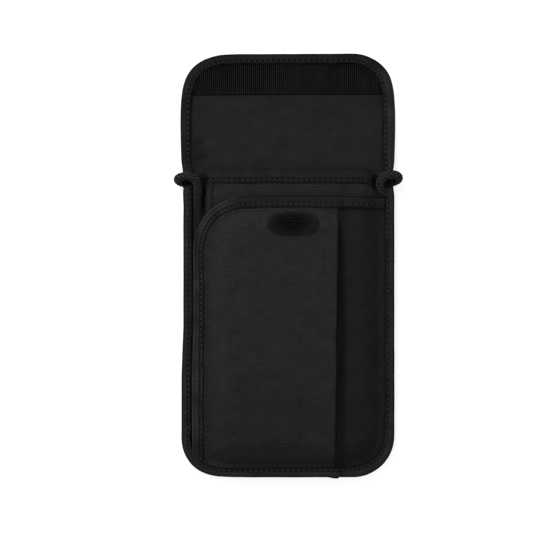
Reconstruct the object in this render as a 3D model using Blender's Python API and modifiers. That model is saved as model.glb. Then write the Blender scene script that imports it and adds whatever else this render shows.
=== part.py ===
"""Neck pouch wallet, lying on its back with its flap open.

The pouch rests on the folded hank of its own neck cord. X runs across it, +Y runs up to the flap and +Z is
the front. The origin is at the middle of the pouch's footprint, on the surface that it lies on. A cloth
panel is a grid bent to its outline and heights and then given its thickness, and an edge binding is a
U-shaped section carried round the edge that it covers.
"""

import math

import bmesh
import bpy
from mathutils import Vector

MM = 0.001
GAP = 0.3 * MM  # left between pieces that touch

# The pouch's outline, and the radius of each corner.
HALF_WIDTH = 67.7 * MM
HALF_LENGTH = 134.3 * MM
FLAP_LEFT_RADIUS = 27.6 * MM
FLAP_RIGHT_RADIUS = 27.2 * MM
BOTTOM_LEFT_RADIUS = 25.0 * MM
BOTTOM_RIGHT_RADIUS = 26.4 * MM
WAIST_Y = 54.0 * MM  # where the cord draws the sides in
WAIST_SHARE = 0.018
WAIST_REACH = 22.0 * MM

# Cloth.
BACK_CLOTH = 0.8 * MM
POCKET_CLOTH = 0.6 * MM
GUSSET_CLOTH = 0.5 * MM
TAPE = 0.6 * MM
LOOP_CLOTH = 0.7 * MM
HOOK_CLOTH = 0.9 * MM

# Edge bindings: the tape's width on each face, and how far a panel's edge stands off the tape's fold.
EDGE_TAPE_WIDTH = 6.4 * MM
FRONT_TAPE_WIDTH = 7.1 * MM
MOUTH_TAPE_WIDTH = 8.0 * MM
PANEL_INSET = 1.0 * MM
TAPE_CORNER = 0.4 * MM  # the bevel on a folded tape's outer corners
TAPE_JOIN_X = 29.0 * MM
JOIN_LENGTH = 6.0 * MM

# The lines of the design across and along the pouch.
FOLD_Y = 72.0 * MM
LOOP_STRIP_LOW = 108.2 * MM
LOOP_STRIP_HIGH = 127.4 * MM
PASSPORT_MOUTH_Y = 60.3 * MM
PASSPORT_LEFT_TOP = -51.7 * MM
PASSPORT_LEFT_BOTTOM = -49.0 * MM
MOUTH_TAPE_RIGHT = 52.0 * MM
FRONT_LEFT = -60.6 * MM
FRONT_TOP = 44.0 * MM
FRONT_RADIUS = 33.5 * MM
FRONT_BOW = 0.8 * MM  # how much the front panel's top edge has dropped at this reach from its highest place
BOW_MIDDLE = 8.0 * MM
BOW_REACH = 50.0 * MM
BOW_START = -20.0 * MM
BOW_RUN = 60.0 * MM
FRONT_TAPE_RIGHT = 54.0 * MM
FRONT_TAPE_BOTTOM = -103.5 * MM
CARD_RIGHT_TOP = 30.6 * MM
CARD_RIGHT_BOTTOM = 28.4 * MM
CARD_UNDER_TAPE = 3.6 * MM
GUSSET_BOTTOM = -103.0 * MM
GUSSET_TOP = 44.4 * MM
HOOK_CENTRE = (3.2 * MM, 26.2 * MM)
HOOK_LENGTH = 33.0 * MM
HOOK_WIDTH = 14.5 * MM
HOOK_EASE = 0.2 * MM  # keeps the patch's first and last rows from closing to a point

# The gusset's fold, across and up, and the heights of the sides where more layers are sewn in.
GUSSET_FOLD = (
    (-66.2, 0.3),
    (-60.8, 0.3),
    (-59.2, 1.5),
    (-57.6, 2.6),
    (-56.0, 2.6),
    (-54.4, 1.4),
    (-52.6, 1.3),
    (-48.5, 1.5),
)
GUSSET_ROWS = 12
PANELS_SEWN_TOP = 69.0 * MM
PANELS_SEWN_RUN = 8.0 * MM
GUSSET_SEWN_TOP = 60.0 * MM
LEFT_SEWN_TOP = -96.0 * MM
LEFT_SEWN_RUN = 12.0 * MM

# Heights: the pouch lies on its cord, its flap lies on the surface, and the pockets stand open.
LIFT = 5.6 * MM
LIFT_FADE_START = 60.0 * MM
LIFT_FADE = 40.0 * MM
DROOP = 1.6 * MM
DROOP_START = -108.0 * MM
DROOP_RUN = 26.0 * MM
PASSPORT_GAP = 4.4 * MM
NOTE_GAP = 4.8 * MM
CARD_GAP = 4.4 * MM
SEAM = 8.0 * MM  # panels lie flat on each other this far in from the edge
RISE = 14.7 * MM  # and reach their full height this much further in
BINDING_CLEAR = 6.0 * MM  # nothing rises under the edge bindings
BINDING_CLEAR_RUN = 1.0 * MM
LEFT_OPEN_START = -119.5 * MM
LEFT_OPEN_RUN = 16.5 * MM
LEFT_FULLNESS = 0.75  # how far the pockets stand open along their left side
LEFT_RISE_START = -48.0 * MM
LEFT_RISE = 15.0 * MM

# The neck cord, its hank and what holds them.
CORD = 5.3 * MM
CORD_SIDES = 2  # bevel resolution
CORD_SPACING = 4.0 * MM
HANK_MIDDLE_Y = -32.0 * MM
HANK_TOP_Y = 31.3 * MM
HANK_BOTTOM_Y = -95.3 * MM
HANK_HALF_TOP = 33.0 * MM
HANK_HALF_MIDDLE = 17.0 * MM
HANK_HALF_BOTTOM = 40.4 * MM
HANK_EDGE = 1.6 * MM
HANK_STEPS = 9
HANK_END_ROUND = 2.5 * MM
TIE_WIDTH = 6.0 * MM
TIE_SIDES = 24
ANCHOR_SIZE = (5.2 * MM, 3.2 * MM, 4.6 * MM)
ANCHOR_BEVEL = 1.0 * MM
LEFT_ANCHOR = (-57.2 * MM, 47.0 * MM)
RIGHT_ANCHOR = (57.4 * MM, 47.4 * MM)

# The flap's hinge: half-way up the closed pouch, so that the flap lies flat on the front.
HINGE_Z = 13.6 * MM

# Rows and columns of the panels' grids, in millimetres, closest together where the cloth bends.
COLUMNS = (-57, -53.5, -49, -44, -38, -26, -13, 0, 13, 26, 38, 44.5, 48, 51.5, 55, 59.5)
BODY_ROWS = (-103.5, -100, -92, -70, -45, -20, 0, 14.3, 19, 22.6, 26.2, 29.8, 33.4, 37)
FRONT_TOP_ROWS = (40.2, 42.0, 42.7)
BACK_ROWS = (44, 52, 60, 64, 68)
FLAP_ROWS = (76, 80, 84, 88, 92, 96, 101)
CORNER_STEPS = 6
TAPE_CORNER_STEPS = 8
COLUMN_MARGIN = 1.2 * MM  # no column or row lies closer than this to a panel's or tape's own end
ROW_MARGIN = 1.5 * MM

BLACK_CLOTH = (0.020, 0.020, 0.021, 1)
DARK_CLOTH = (0.012, 0.012, 0.013, 1)
BLACK_TAPE = (0.016, 0.016, 0.017, 1)
LOOP_BLACK = (0.008, 0.008, 0.008, 1)
HOOK_BLACK = (0.005, 0.005, 0.005, 1)
CORD_BLACK = (0.015, 0.015, 0.016, 1)


def smooth(t):
    """0 up to t = 0, 1 from t = 1, and an even slope between."""
    t = min(max(t, 0.0), 1.0)
    return t * t * (3 - 2 * t)


def mix(a, b, t):
    return a + (b - a) * t


def in_metres(values):
    return [value * MM for value in values]


# ---------------------------------------------------------------- the pouch's outline and heights


def corner_radius(x, y):
    if y > 0:
        return FLAP_RIGHT_RADIUS if x > 0 else FLAP_LEFT_RADIUS
    return BOTTOM_RIGHT_RADIUS if x > 0 else BOTTOM_LEFT_RADIUS


def edge_distance(x, y):
    """How far inside the pouch's outline a point is."""
    radius = corner_radius(x, y)
    across = abs(x) - (HALF_WIDTH - radius)
    along = abs(y) - (HALF_LENGTH - radius)
    return radius - math.hypot(max(across, 0), max(along, 0)) - min(max(across, along), 0)


def pouch_side(y, side, inset=PANEL_INSET):
    """The X of the pouch's left (-1) or right (1) side at this height, this far inside the outline."""
    radius = corner_radius(side, y)
    past = abs(y) - (HALF_LENGTH - radius)
    if past <= 0:
        return side * (HALF_WIDTH - inset)
    reach = math.sqrt(max((radius - inset) ** 2 - past**2, 0))
    return side * (HALF_WIDTH - radius + reach)


def place(x, y, z):
    """A point of the pouch, drawn in at the waist where the cord goes round its sides."""
    waist = 1 - WAIST_SHARE * (1 - smooth(abs(y - WAIST_Y) / WAIST_REACH))
    return Vector((x * waist, y, z))


def lift(y):
    """How far the underside stands off the surface."""
    raised = LIFT * (1 - smooth((y - LIFT_FADE_START) / LIFT_FADE))
    return raised - DROOP * smooth((DROOP_START - y) / DROOP_RUN)


def fullness(x, y):
    """0 where the pockets are sewn shut, at their right and bottom, and 1 where they are full."""
    from_edge = edge_distance(x, y)
    inside = from_edge
    if x < 0:
        from_bottom = y + HALF_LENGTH
        inside = mix(from_edge, from_bottom, smooth((y - LEFT_OPEN_START) / LEFT_OPEN_RUN))
    elif y > 0:
        inside = HALF_WIDTH - x
    return smooth((inside - SEAM) / RISE) * smooth((from_edge - BINDING_CLEAR) / BINDING_CLEAR_RUN)


def back_top(x, y):
    return lift(y) + TAPE + GAP + BACK_CLOTH


def open_fullness(x, y):
    """The fullness of the two pockets whose left side isn't sewn down flat."""
    return fullness(x, y) * mix(LEFT_FULLNESS, 1, smooth((x - LEFT_RISE_START) / LEFT_RISE))


def passport_under(x, y):
    """The underside of the passport pocket's front wall."""
    return back_top(x, y) + GAP + (PASSPORT_GAP - GAP) * open_fullness(x, y)


def front_under(x, y):
    """The underside of the note pocket's front wall."""
    return passport_under(x, y) + POCKET_CLOTH + GAP + (NOTE_GAP - GAP) * open_fullness(x, y)


def front_distance(x, y):
    """How far a point is from the front panel's left and top edges, round its corner."""
    across = FRONT_LEFT + FRONT_RADIUS - x
    along = y - (FRONT_TOP - FRONT_RADIUS)
    return FRONT_RADIUS - math.hypot(max(across, 0), max(along, 0)) - min(max(across, along), 0)


def card_under(x, y):
    """The underside of the card pocket's wall, sewn to the front panel at its left and top."""
    sewn = smooth((front_distance(x, y) - FRONT_TAPE_WIDTH - GAP) / RISE)
    return front_under(x, y) + POCKET_CLOTH + GAP + (CARD_GAP - GAP) * sewn * fullness(x, y)


def front_bow(x, y):
    """The front panel's top edge is a little lower towards both of its sides."""
    return -FRONT_BOW * ((x - BOW_MIDDLE) / BOW_REACH) ** 2 * smooth((y - BOW_START) / BOW_RUN)


# ---------------------------------------------------------------- objects


def clear_scene():
    for old in list(bpy.data.objects):
        bpy.data.objects.remove(old, do_unlink=True)


def make_material(name, colour, roughness):
    made = bpy.data.materials.new(name)
    made.use_nodes = True
    shader = made.node_tree.nodes["Principled BSDF"]
    shader.inputs["Base Color"].default_value = colour
    shader.inputs["Roughness"].default_value = roughness
    shader.inputs["Metallic"].default_value = 0.0
    return made


def add_mesh(name, work, material, parent):
    """Puts a bmesh in the scene as an object, with its vertices measured from its parent's origin."""
    for vertex in work.verts:
        vertex.co -= parent.location
    bmesh.ops.recalc_face_normals(work, faces=work.faces)
    mesh = bpy.data.meshes.new(name)
    work.to_mesh(mesh)
    work.free()
    mesh.materials.append(material)
    made = bpy.data.objects.new(name, mesh)
    made.parent = parent
    PARTS.objects.link(made)
    return made


def thicken(sheet, thickness):
    solid = sheet.modifiers.new("cloth", "SOLIDIFY")
    solid.thickness = thickness
    solid.offset = 1
    solid.use_even_offset = True
    return sheet


def panel(name, rows, left, right, under, thickness, material, parent, shift=None):
    """A cloth panel between two sides, which are functions of Y, with its underside at under(x, y)."""
    low = min(left(y) for y in rows)
    high = max(right(y) for y in rows)
    inside = [x for x in in_metres(COLUMNS) if low + COLUMN_MARGIN < x < high - COLUMN_MARGIN]
    lines = [low, *inside, high]
    work = bmesh.new()
    bmesh.ops.create_grid(work, x_segments=len(lines) - 1, y_segments=len(rows) - 1, size=1)
    for vertex in work.verts:
        line = lines[round((vertex.co.x + 1) / 2 * (len(lines) - 1))]
        y = rows[round((vertex.co.y + 1) / 2 * (len(rows) - 1))]
        x = line * (left(y) / low if line < 0 else right(y) / high)
        moved = y + shift(x, y) if shift else y
        vertex.co = place(x, moved, under(x, y))
    made = add_mesh(name, work, material, parent)
    if made.data.polygons[0].normal.z < 0:
        made.data.flip_normals()
    return thicken(made, thickness)


def loft(name, rings, material, parent):
    """A solid through rings of the same number of points, closed at both ends."""
    work = bmesh.new()
    loops = [[work.verts.new(point) for point in ring] for ring in rings]
    count = len(rings[0])
    for first, second in zip(loops, loops[1:]):
        for i in range(count):
            j = (i + 1) % count
            work.faces.new((first[i], first[j], second[j], second[i]))
    work.faces.new(loops[0])
    work.faces.new(loops[-1])
    return add_mesh(name, work, material, parent)


def bottom_rows():
    """The rows round the bottom corners, from the bottom edge up."""
    radius = BOTTOM_LEFT_RADIUS - PANEL_INSET
    centre = BOTTOM_LEFT_RADIUS - HALF_LENGTH
    steps = [math.radians(90 * i / CORNER_STEPS) for i in range(CORNER_STEPS + 1)]
    return [centre - radius * math.cos(step) for step in steps]


def top_rows():
    """The rows round the flap's corners, up to its top edge."""
    radius = FLAP_LEFT_RADIUS - PANEL_INSET
    centre = HALF_LENGTH - FLAP_LEFT_RADIUS
    steps = [math.radians(90 * i / CORNER_STEPS) for i in range(CORNER_STEPS + 1)]
    return [centre + radius * math.sin(step) for step in steps]


# ---------------------------------------------------------------- cloth panels


def back_panel(parent, cloth):
    rows = bottom_rows() + in_metres(BODY_ROWS + BACK_ROWS) + [FOLD_Y - GAP / 2]
    under = lambda x, y: back_top(x, y) - BACK_CLOTH
    left = lambda y: pouch_side(y, -1)
    right = lambda y: pouch_side(y, 1)
    return panel("back_panel", rows, left, right, under, BACK_CLOTH, cloth, parent)


def flap_panel(parent, cloth):
    rows = [FOLD_Y + GAP / 2] + in_metres(FLAP_ROWS) + top_rows()
    under = lambda x, y: back_top(x, y) - BACK_CLOTH
    left = lambda y: pouch_side(y, -1)
    right = lambda y: pouch_side(y, 1)
    return panel("flap_panel", rows, left, right, under, BACK_CLOTH, cloth, parent)


def loop_strip(parent, loops):
    """The soft half of the hook-and-loop fastener, inside the flap; its top follows the edge binding."""
    rows = [mix(LOOP_STRIP_LOW, LOOP_STRIP_HIGH, i / 5) for i in range(6)]
    inset = EDGE_TAPE_WIDTH + GAP
    under = lambda x, y: back_top(x, y) + GAP
    left = lambda y: pouch_side(y, -1, inset)
    right = lambda y: pouch_side(y, 1, inset)
    return panel("loop_strip", rows, left, right, under, LOOP_CLOTH, loops, parent)


def passport_left(y):
    up = (y + HALF_LENGTH) / (PASSPORT_MOUTH_Y + HALF_LENGTH)
    return max(mix(PASSPORT_LEFT_BOTTOM, PASSPORT_LEFT_TOP, up), pouch_side(y, -1))


def passport_panel(parent, cloth):
    rows = bottom_rows() + in_metres(BODY_ROWS) + [44 * MM, 52 * MM, PASSPORT_MOUTH_Y - PANEL_INSET]
    right = lambda y: pouch_side(y, 1)
    return panel("passport_panel", rows, passport_left, right, passport_under, POCKET_CLOTH, cloth, parent)


def rounded_left(y, left, top, radius):
    """The left side of a panel whose top left corner is round."""
    past = y - (top - radius)
    if past <= 0:
        return left
    return left + radius - math.sqrt(max(radius**2 - past**2, 0))


def front_left(y):
    top = FRONT_TOP - PANEL_INSET
    side = rounded_left(y, FRONT_LEFT + PANEL_INSET, top, FRONT_RADIUS - PANEL_INSET)
    return max(side, pouch_side(y, -1))


def front_panel(parent, cloth):
    rows = bottom_rows() + in_metres(BODY_ROWS + FRONT_TOP_ROWS) + [FRONT_TOP - PANEL_INSET]
    right = lambda y: pouch_side(y, 1)
    return panel(
        "front_panel", rows, front_left, right, front_under, POCKET_CLOTH, cloth, parent, shift=front_bow
    )


def card_panel(parent, cloth):
    """The card pocket's front wall: under the front binding at its left and top, and open at its right."""
    top = FRONT_TOP - CARD_UNDER_TAPE
    rows = bottom_rows() + in_metres(BODY_ROWS) + [38.6 * MM, top]
    edge = FRONT_LEFT + CARD_UNDER_TAPE
    left = lambda y: max(rounded_left(y, edge, top, FRONT_RADIUS - CARD_UNDER_TAPE), pouch_side(y, -1))
    right = lambda y: mix(CARD_RIGHT_BOTTOM, CARD_RIGHT_TOP, (y + HALF_LENGTH) / (top + HALF_LENGTH))
    return panel("card_panel", rows, left, right, card_under, POCKET_CLOTH, cloth, parent, shift=front_bow)


def hook_patch(parent, hooks):
    """The hook half of the fastener: a strip with round ends."""
    end = HOOK_WIDTH / 2 + HOOK_EASE
    rows = [y for y in in_metres(BODY_ROWS) if abs(y - HOOK_CENTRE[1]) < end]

    def half(y):
        return HOOK_LENGTH / 2 - end + math.sqrt(max(end**2 - (y - HOOK_CENTRE[1]) ** 2, 0))

    left = lambda y: HOOK_CENTRE[0] - half(y)
    right = lambda y: HOOK_CENTRE[0] + half(y)
    under = lambda x, y: card_under(x, y) + POCKET_CLOTH + GAP
    return panel("hook_patch", rows, left, right, under, HOOK_CLOTH, hooks, parent, shift=front_bow)


def side_gusset(parent, cloth):
    """The folded strip that closes the passport pocket's left side and lets it swell."""
    folds = len(GUSSET_FOLD) - 1
    work = bmesh.new()
    bmesh.ops.create_grid(work, x_segments=folds, y_segments=GUSSET_ROWS, size=1)
    for vertex in work.verts:
        across, up = GUSSET_FOLD[round((vertex.co.x + 1) / 2 * folds)]
        y = mix(GUSSET_BOTTOM, GUSSET_TOP, (vertex.co.y + 1) / 2)
        vertex.co = place(across * MM, y, back_top(across, y) + up * MM)
    made = add_mesh("side_gusset", work, cloth, parent)
    if made.data.polygons[0].normal.z < 0:
        made.data.flip_normals()
    return thicken(made, GUSSET_CLOTH)


# ---------------------------------------------------------------- edge bindings


def tape_section(width, low, high, thickness=TAPE):
    """The U of a folded tape: how far in from its fold, and how high, for each of its corners."""
    return (
        (width, low),
        (TAPE_CORNER, low),
        (0, low + TAPE_CORNER),
        (0, high - TAPE_CORNER),
        (TAPE_CORNER, high),
        (width, high),
        (width, high - thickness),
        (thickness, high - thickness),
        (thickness, low + thickness),
        (width, low + thickness),
    )


def pouch_arc(side, end):
    """Points and inward directions round a corner of the pouch, from its side to its end edge."""
    radius = corner_radius(side, end)
    centre = Vector((side * (HALF_WIDTH - radius), end * (HALF_LENGTH - radius)))
    made = []
    for i in range(TAPE_CORNER_STEPS + 1):
        turn = math.radians(90 * i / TAPE_CORNER_STEPS)
        outward = Vector((side * math.cos(turn), end * math.sin(turn)))
        made.append((centre + outward * radius, -outward))
    return made


def straight(points, inward):
    return [(Vector(point), Vector(inward)) for point in points]


def edge_binding(name, path, stack_top, tape, parent, grow=0.0):
    """Tape folded round the pouch's edge. stack_top gives the height of the cloth inside it."""
    rings = []
    for point, inward in path:
        low = -grow
        high = stack_top(point.x, point.y) + GAP + TAPE + grow
        ring = []
        for across, up in tape_section(EDGE_TAPE_WIDTH + 2 * grow, low, high):
            at = point + inward * (across - grow)
            ring.append(place(at.x, at.y, up + lift(at.y)))
        rings.append(ring)
    return loft(name, rings, tape, parent)


def back_only():
    return TAPE + GAP + BACK_CLOTH


def right_stack(x, y):
    """On the right side the passport and front panels are sewn in from the passport pocket's mouth down."""
    pockets = 2 * (GAP + POCKET_CLOTH)
    return back_only() + pockets * smooth((PANELS_SEWN_TOP - y) / PANELS_SEWN_RUN)


def left_stack(x, y):
    """The left side holds the gusset, and the bottom left corner and edge hold the pocket panels."""
    gusset = GAP + GUSSET_CLOTH
    pockets = 3 * (GAP + POCKET_CLOTH)
    side = gusset * smooth((GUSSET_SEWN_TOP - y) / LEFT_SEWN_RUN)
    return back_only() + mix(side, pockets, smooth((LEFT_SEWN_TOP - y) / LEFT_SEWN_RUN))


def side_ys(high, low):
    """Rows down a straight side."""
    lines = sorted(in_metres(BODY_ROWS + BACK_ROWS + FLAP_ROWS), reverse=True)
    return [high] + [y for y in lines if low + ROW_MARGIN < y < high - ROW_MARGIN]


def body_binding_right(parent, tape):
    down = side_ys(FOLD_Y - GAP / 2, BOTTOM_RIGHT_RADIUS - HALF_LENGTH)
    path = straight([(HALF_WIDTH, y) for y in down], (-1, 0)) + pouch_arc(1, -1)
    path += straight([(37 * MM, -HALF_LENGTH), (TAPE_JOIN_X + GAP / 2, -HALF_LENGTH)], (0, 1))
    return edge_binding("body_binding_right", path, right_stack, tape, parent)


def body_binding_left(parent, tape):
    down = side_ys(FOLD_Y - GAP / 2, BOTTOM_LEFT_RADIUS - HALF_LENGTH)
    path = straight([(-HALF_WIDTH, y) for y in down], (1, 0)) + pouch_arc(-1, -1)
    along = [(x * MM, -HALF_LENGTH) for x in (-26, -13, 0, 13, 22)]
    path += straight([*along, (TAPE_JOIN_X - GAP / 2, -HALF_LENGTH)], (0, 1))
    return edge_binding("body_binding_left", path, left_stack, tape, parent)


def flap_binding(parent, tape):
    start = FOLD_Y + GAP / 2
    straight_end = HALF_LENGTH - ROW_MARGIN
    left_up = [y for y in in_metres(FLAP_ROWS) if y < straight_end - FLAP_LEFT_RADIUS]
    right_up = [y for y in in_metres(FLAP_ROWS) if y < straight_end - FLAP_RIGHT_RADIUS]
    path = straight([(-HALF_WIDTH, y) for y in [start, *left_up]], (1, 0)) + pouch_arc(-1, 1)
    path += straight([(x * MM, HALF_LENGTH) for x in (-20, 0, 20)], (0, -1))
    path += pouch_arc(1, 1)[::-1]
    path += straight([(HALF_WIDTH, y) for y in [*right_up[::-1], start]], (-1, 0))
    return edge_binding("flap_binding", path, lambda x, y: back_only(), tape, parent)


def binding_overlap(parent, tape):
    """The turned end of the edge tape, lapped over the place where the tape began."""
    ends = (TAPE_JOIN_X - JOIN_LENGTH / 2, TAPE_JOIN_X, TAPE_JOIN_X + JOIN_LENGTH / 2)
    path = straight([(x, -HALF_LENGTH) for x in ends], (0, 1))
    tallest = lambda x, y: left_stack(TAPE_JOIN_X, y)
    return edge_binding("binding_overlap", path, tallest, tape, parent, grow=TAPE + GAP)


def mouth_binding(parent, tape):
    """The tape over the passport pocket's mouth."""
    xs = [PASSPORT_LEFT_TOP] + [x * MM for x in COLUMNS if -50 < x < 50] + [MOUTH_TAPE_RIGHT]
    rings = []
    for x in xs:
        ring = []
        for across, up in tape_section(MOUTH_TAPE_WIDTH, -TAPE - GAP, POCKET_CLOTH + GAP + TAPE):
            y = PASSPORT_MOUTH_Y - across
            ring.append(place(x, y, passport_under(x, y) + up))
        rings.append(ring)
    return loft("passport_mouth_binding", rings, tape, parent)


def front_binding(parent, tape):
    """The tape up the front panel's left side, round its top left corner and along its top edge."""
    straight_end = FRONT_TOP - FRONT_RADIUS - ROW_MARGIN
    ups = [y for y in in_metres(BODY_ROWS) if FRONT_TAPE_BOTTOM < y < straight_end]
    path = straight([(FRONT_LEFT, y) for y in [FRONT_TAPE_BOTTOM, *ups]], (1, 0))
    centre = Vector((FRONT_LEFT + FRONT_RADIUS, FRONT_TOP - FRONT_RADIUS))
    for i in range(TAPE_CORNER_STEPS + 1):
        turn = math.radians(90 * i / TAPE_CORNER_STEPS)
        outward = Vector((-math.cos(turn), math.sin(turn)))
        path.append((centre + outward * FRONT_RADIUS, -outward))
    along = [x * MM for x in COLUMNS if -28 < x < 52]
    path += straight([(x, FRONT_TOP) for x in [*along, FRONT_TAPE_RIGHT]], (0, -1))
    stack = POCKET_CLOTH + GAP + POCKET_CLOTH
    rings = []
    for point, inward in path:
        ring = []
        for across, up in tape_section(FRONT_TAPE_WIDTH, -TAPE - GAP, stack + GAP + TAPE):
            at = point + inward * across
            ring.append(place(at.x, at.y + front_bow(at.x, at.y), front_under(at.x, at.y) + up))
        rings.append(ring)
    return loft("front_binding", rings, tape, parent)


# ---------------------------------------------------------------- the neck cord

RIGHT_ROUTE = (
    (58.3, 50.0, 12.0),
    (58.5, 52.6, 12.3),
    (60.3, 55.4, 13.0),
    (62.9, 57.1, 13.4),
    (66.0, 57.5, 13.4),
    (69.0, 56.9, 12.1),
    (70.4, 55.7, 8.6),
    (69.8, 54.3, 5.0),
    (67.2, 53.0, 2.8),
    (62.5, 51.4, 2.65),
    (55.0, 49.3, 2.65),
    (46.5, 46.6, 2.65),
    (38.5, 42.9, 2.65),
    (32.6, 37.6, 2.65),
    (30.2, 31.7, 2.65),
)
LEFT_ROUTE = (
    (-57.3, 49.3, 10.7),
    (-57.6, 51.6, 11.0),
    (-59.3, 54.4, 11.9),
    (-61.9, 56.1, 12.5),
    (-65.0, 56.5, 12.6),
    (-68.2, 55.9, 11.5),
    (-69.9, 54.7, 8.2),
    (-69.4, 53.5, 4.8),
    (-66.8, 52.4, 2.8),
    (-62.0, 51.0, 2.65),
    (-54.8, 49.0, 2.65),
    (-46.5, 46.4, 2.65),
    (-38.5, 42.8, 2.65),
    (-32.6, 37.6, 2.65),
    (-30.2, 31.7, 2.65),
)


def through(route, spacing):
    """Points about this far apart on a smooth curve through a route's own points."""
    points = [Vector(point) * MM for point in route]
    ends = [points[0] * 2 - points[1], *points, points[-1] * 2 - points[-2]]
    made = [points[0]]
    for before, first, second, after in zip(ends, ends[1:], ends[2:], ends[3:]):
        steps = max(1, round((second - first).length / spacing))
        for i in range(1, steps + 1):
            t = i / steps
            straight_on = 2 * first + (second - before) * t
            bend = (2 * before - 5 * first + 4 * second - after) * t * t
            made.append((straight_on + bend + (3 * first - before - 3 * second + after) * t**3) / 2)
    return made


def cord(name, route, material, parent):
    curve = bpy.data.curves.new(name, "CURVE")
    curve.dimensions = "3D"
    curve.bevel_depth = CORD / 2
    curve.bevel_resolution = CORD_SIDES
    curve.use_fill_caps = True
    spline = curve.splines.new("POLY")
    points = through(route, CORD_SPACING)
    spline.points.add(len(points) - 1)
    for target, point in zip(spline.points, points):
        target.co = (*point, 1)
    curve.materials.append(material)
    made = bpy.data.objects.new(name, curve)
    made.parent = parent
    PARTS.objects.link(made)
    return made


def hank_half_width(y):
    """The hank is narrow where its tie holds it, and spreads to its end loops."""
    if y > HANK_MIDDLE_Y:
        reach, end = HANK_TOP_Y - HANK_MIDDLE_Y, HANK_HALF_TOP
    else:
        reach, end = HANK_MIDDLE_Y - HANK_BOTTOM_Y, HANK_HALF_BOTTOM
    spread = smooth((abs(y - HANK_MIDDLE_Y) - 4 * MM) / (0.82 * reach))
    near_end = max(abs(y - HANK_MIDDLE_Y) / reach - 0.9, 0) / 0.1
    return mix(HANK_HALF_MIDDLE, end, spread) - HANK_END_ROUND * near_end**2


def cord_hank(parent, material):
    """The outer shape of the folded cord under the pouch, thinner where the tie goes round it."""
    tie = TIE_WIDTH / 2 + GAP
    shares = [i / HANK_STEPS for i in range(HANK_STEPS + 1)]
    waist = TAPE + GAP
    stations = [(mix(HANK_BOTTOM_Y, HANK_MIDDLE_Y - tie, share), 0.0) for share in shares]
    stations += [(HANK_MIDDLE_Y - tie, waist), (HANK_MIDDLE_Y + tie, waist)]
    stations += [(mix(HANK_MIDDLE_Y + tie, HANK_TOP_Y, share), 0.0) for share in shares]
    rings = []
    for y, low in stations:
        half = hank_half_width(y)
        ring = [(half - HANK_EDGE, low), (half, low + HANK_EDGE)]
        ring += [(half, CORD - HANK_EDGE), (half - HANK_EDGE, CORD)]
        ring += [(-x, z) for x, z in ring[::-1]]
        rings.append([Vector((x, y, z)) for x, z in ring])
    return loft("cord_hank", rings, material, parent)


def hank_tie(parent, material):
    """The band round the middle of the hank."""
    half = HANK_HALF_MIDDLE + GAP + TAPE
    high = CORD + GAP + TAPE
    work = bmesh.new()
    bmesh.ops.create_cone(
        work, cap_ends=False, segments=TIE_SIDES, radius1=1, radius2=1, depth=TIE_WIDTH
    )
    round_end = high / 2
    for vertex in work.verts:
        along = vertex.co.z
        turn = math.atan2(vertex.co.y, vertex.co.x)
        x = round_end * math.cos(turn) + math.copysign(half - round_end, math.cos(turn))
        z = round_end + round_end * math.sin(turn)
        vertex.co = Vector((x, HANK_MIDDLE_Y + along, z))
    made = add_mesh("hank_tie", work, material, parent)
    return thicken(made, TAPE)


def cord_anchor(name, centre, base, material, parent):
    """The cord's end, pressed flat and sewn down: a short block with bevelled edges."""
    width, length, height = ANCHOR_SIZE
    work = bmesh.new()
    bmesh.ops.create_cube(work, size=1)
    for vertex in work.verts:
        vertex.co = Vector(
            (
                centre[0] + vertex.co.x * width,
                centre[1] + vertex.co.y * length,
                base + (vertex.co.z + 0.5) * height,
            )
        )
    made = add_mesh(name, work, material, parent)
    rounded = made.modifiers.new("edges", "BEVEL")
    rounded.width = ANCHOR_BEVEL
    rounded.segments = 2
    return made


# ---------------------------------------------------------------- the whole pouch


def add_body():
    body = bpy.data.objects.new("pouch_body", None)
    PARTS.objects.link(body)
    return body


def add_flap():
    """The flap's own origin is on its hinge."""
    flap = bpy.data.objects.new("flap", None)
    flap.location = (0, FOLD_Y, HINGE_Z)
    PARTS.objects.link(flap)
    return flap


clear_scene()
PARTS = bpy.data.collections.new("neck_pouch_wallet")
bpy.context.scene.collection.children.link(PARTS)
CLOTH = make_material("black_cloth", BLACK_CLOTH, 0.85)
SHADED_CLOTH = make_material("dark_cloth", DARK_CLOTH, 0.9)
BINDING = make_material("black_binding", BLACK_TAPE, 0.7)
LOOPS = make_material("loop_fastener", LOOP_BLACK, 0.95)
HOOKS = make_material("hook_fastener", HOOK_BLACK, 0.8)
BRAID = make_material("cord_braid", CORD_BLACK, 0.75)

pouch = add_body()
back_panel(pouch, CLOTH)
side_gusset(pouch, SHADED_CLOTH)
passport_panel(pouch, CLOTH)
mouth_binding(pouch, BINDING)
front_panel(pouch, SHADED_CLOTH)
card_panel(pouch, CLOTH)
front_binding(pouch, BINDING)
hook_patch(pouch, HOOKS)
body_binding_left(pouch, BINDING)
body_binding_right(pouch, BINDING)
binding_overlap(pouch, BINDING)
cord("cord_left", LEFT_ROUTE, BRAID, pouch)
cord("cord_right", RIGHT_ROUTE, BRAID, pouch)
cord_hank(pouch, BRAID)
hank_tie(pouch, BINDING)
cord_anchor("cord_anchor_left", LEFT_ANCHOR, back_top(*LEFT_ANCHOR) + GAP, BRAID, pouch)
RIGHT_BASE = passport_under(*RIGHT_ANCHOR) + POCKET_CLOTH + 2 * GAP
cord_anchor("cord_anchor_right", RIGHT_ANCHOR, RIGHT_BASE, BRAID, pouch)

flap = add_flap()
flap_panel(flap, CLOTH)
loop_strip(flap, LOOPS)
flap_binding(flap, BINDING)
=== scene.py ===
import math

import bmesh
import bpy
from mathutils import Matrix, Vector, noise


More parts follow.
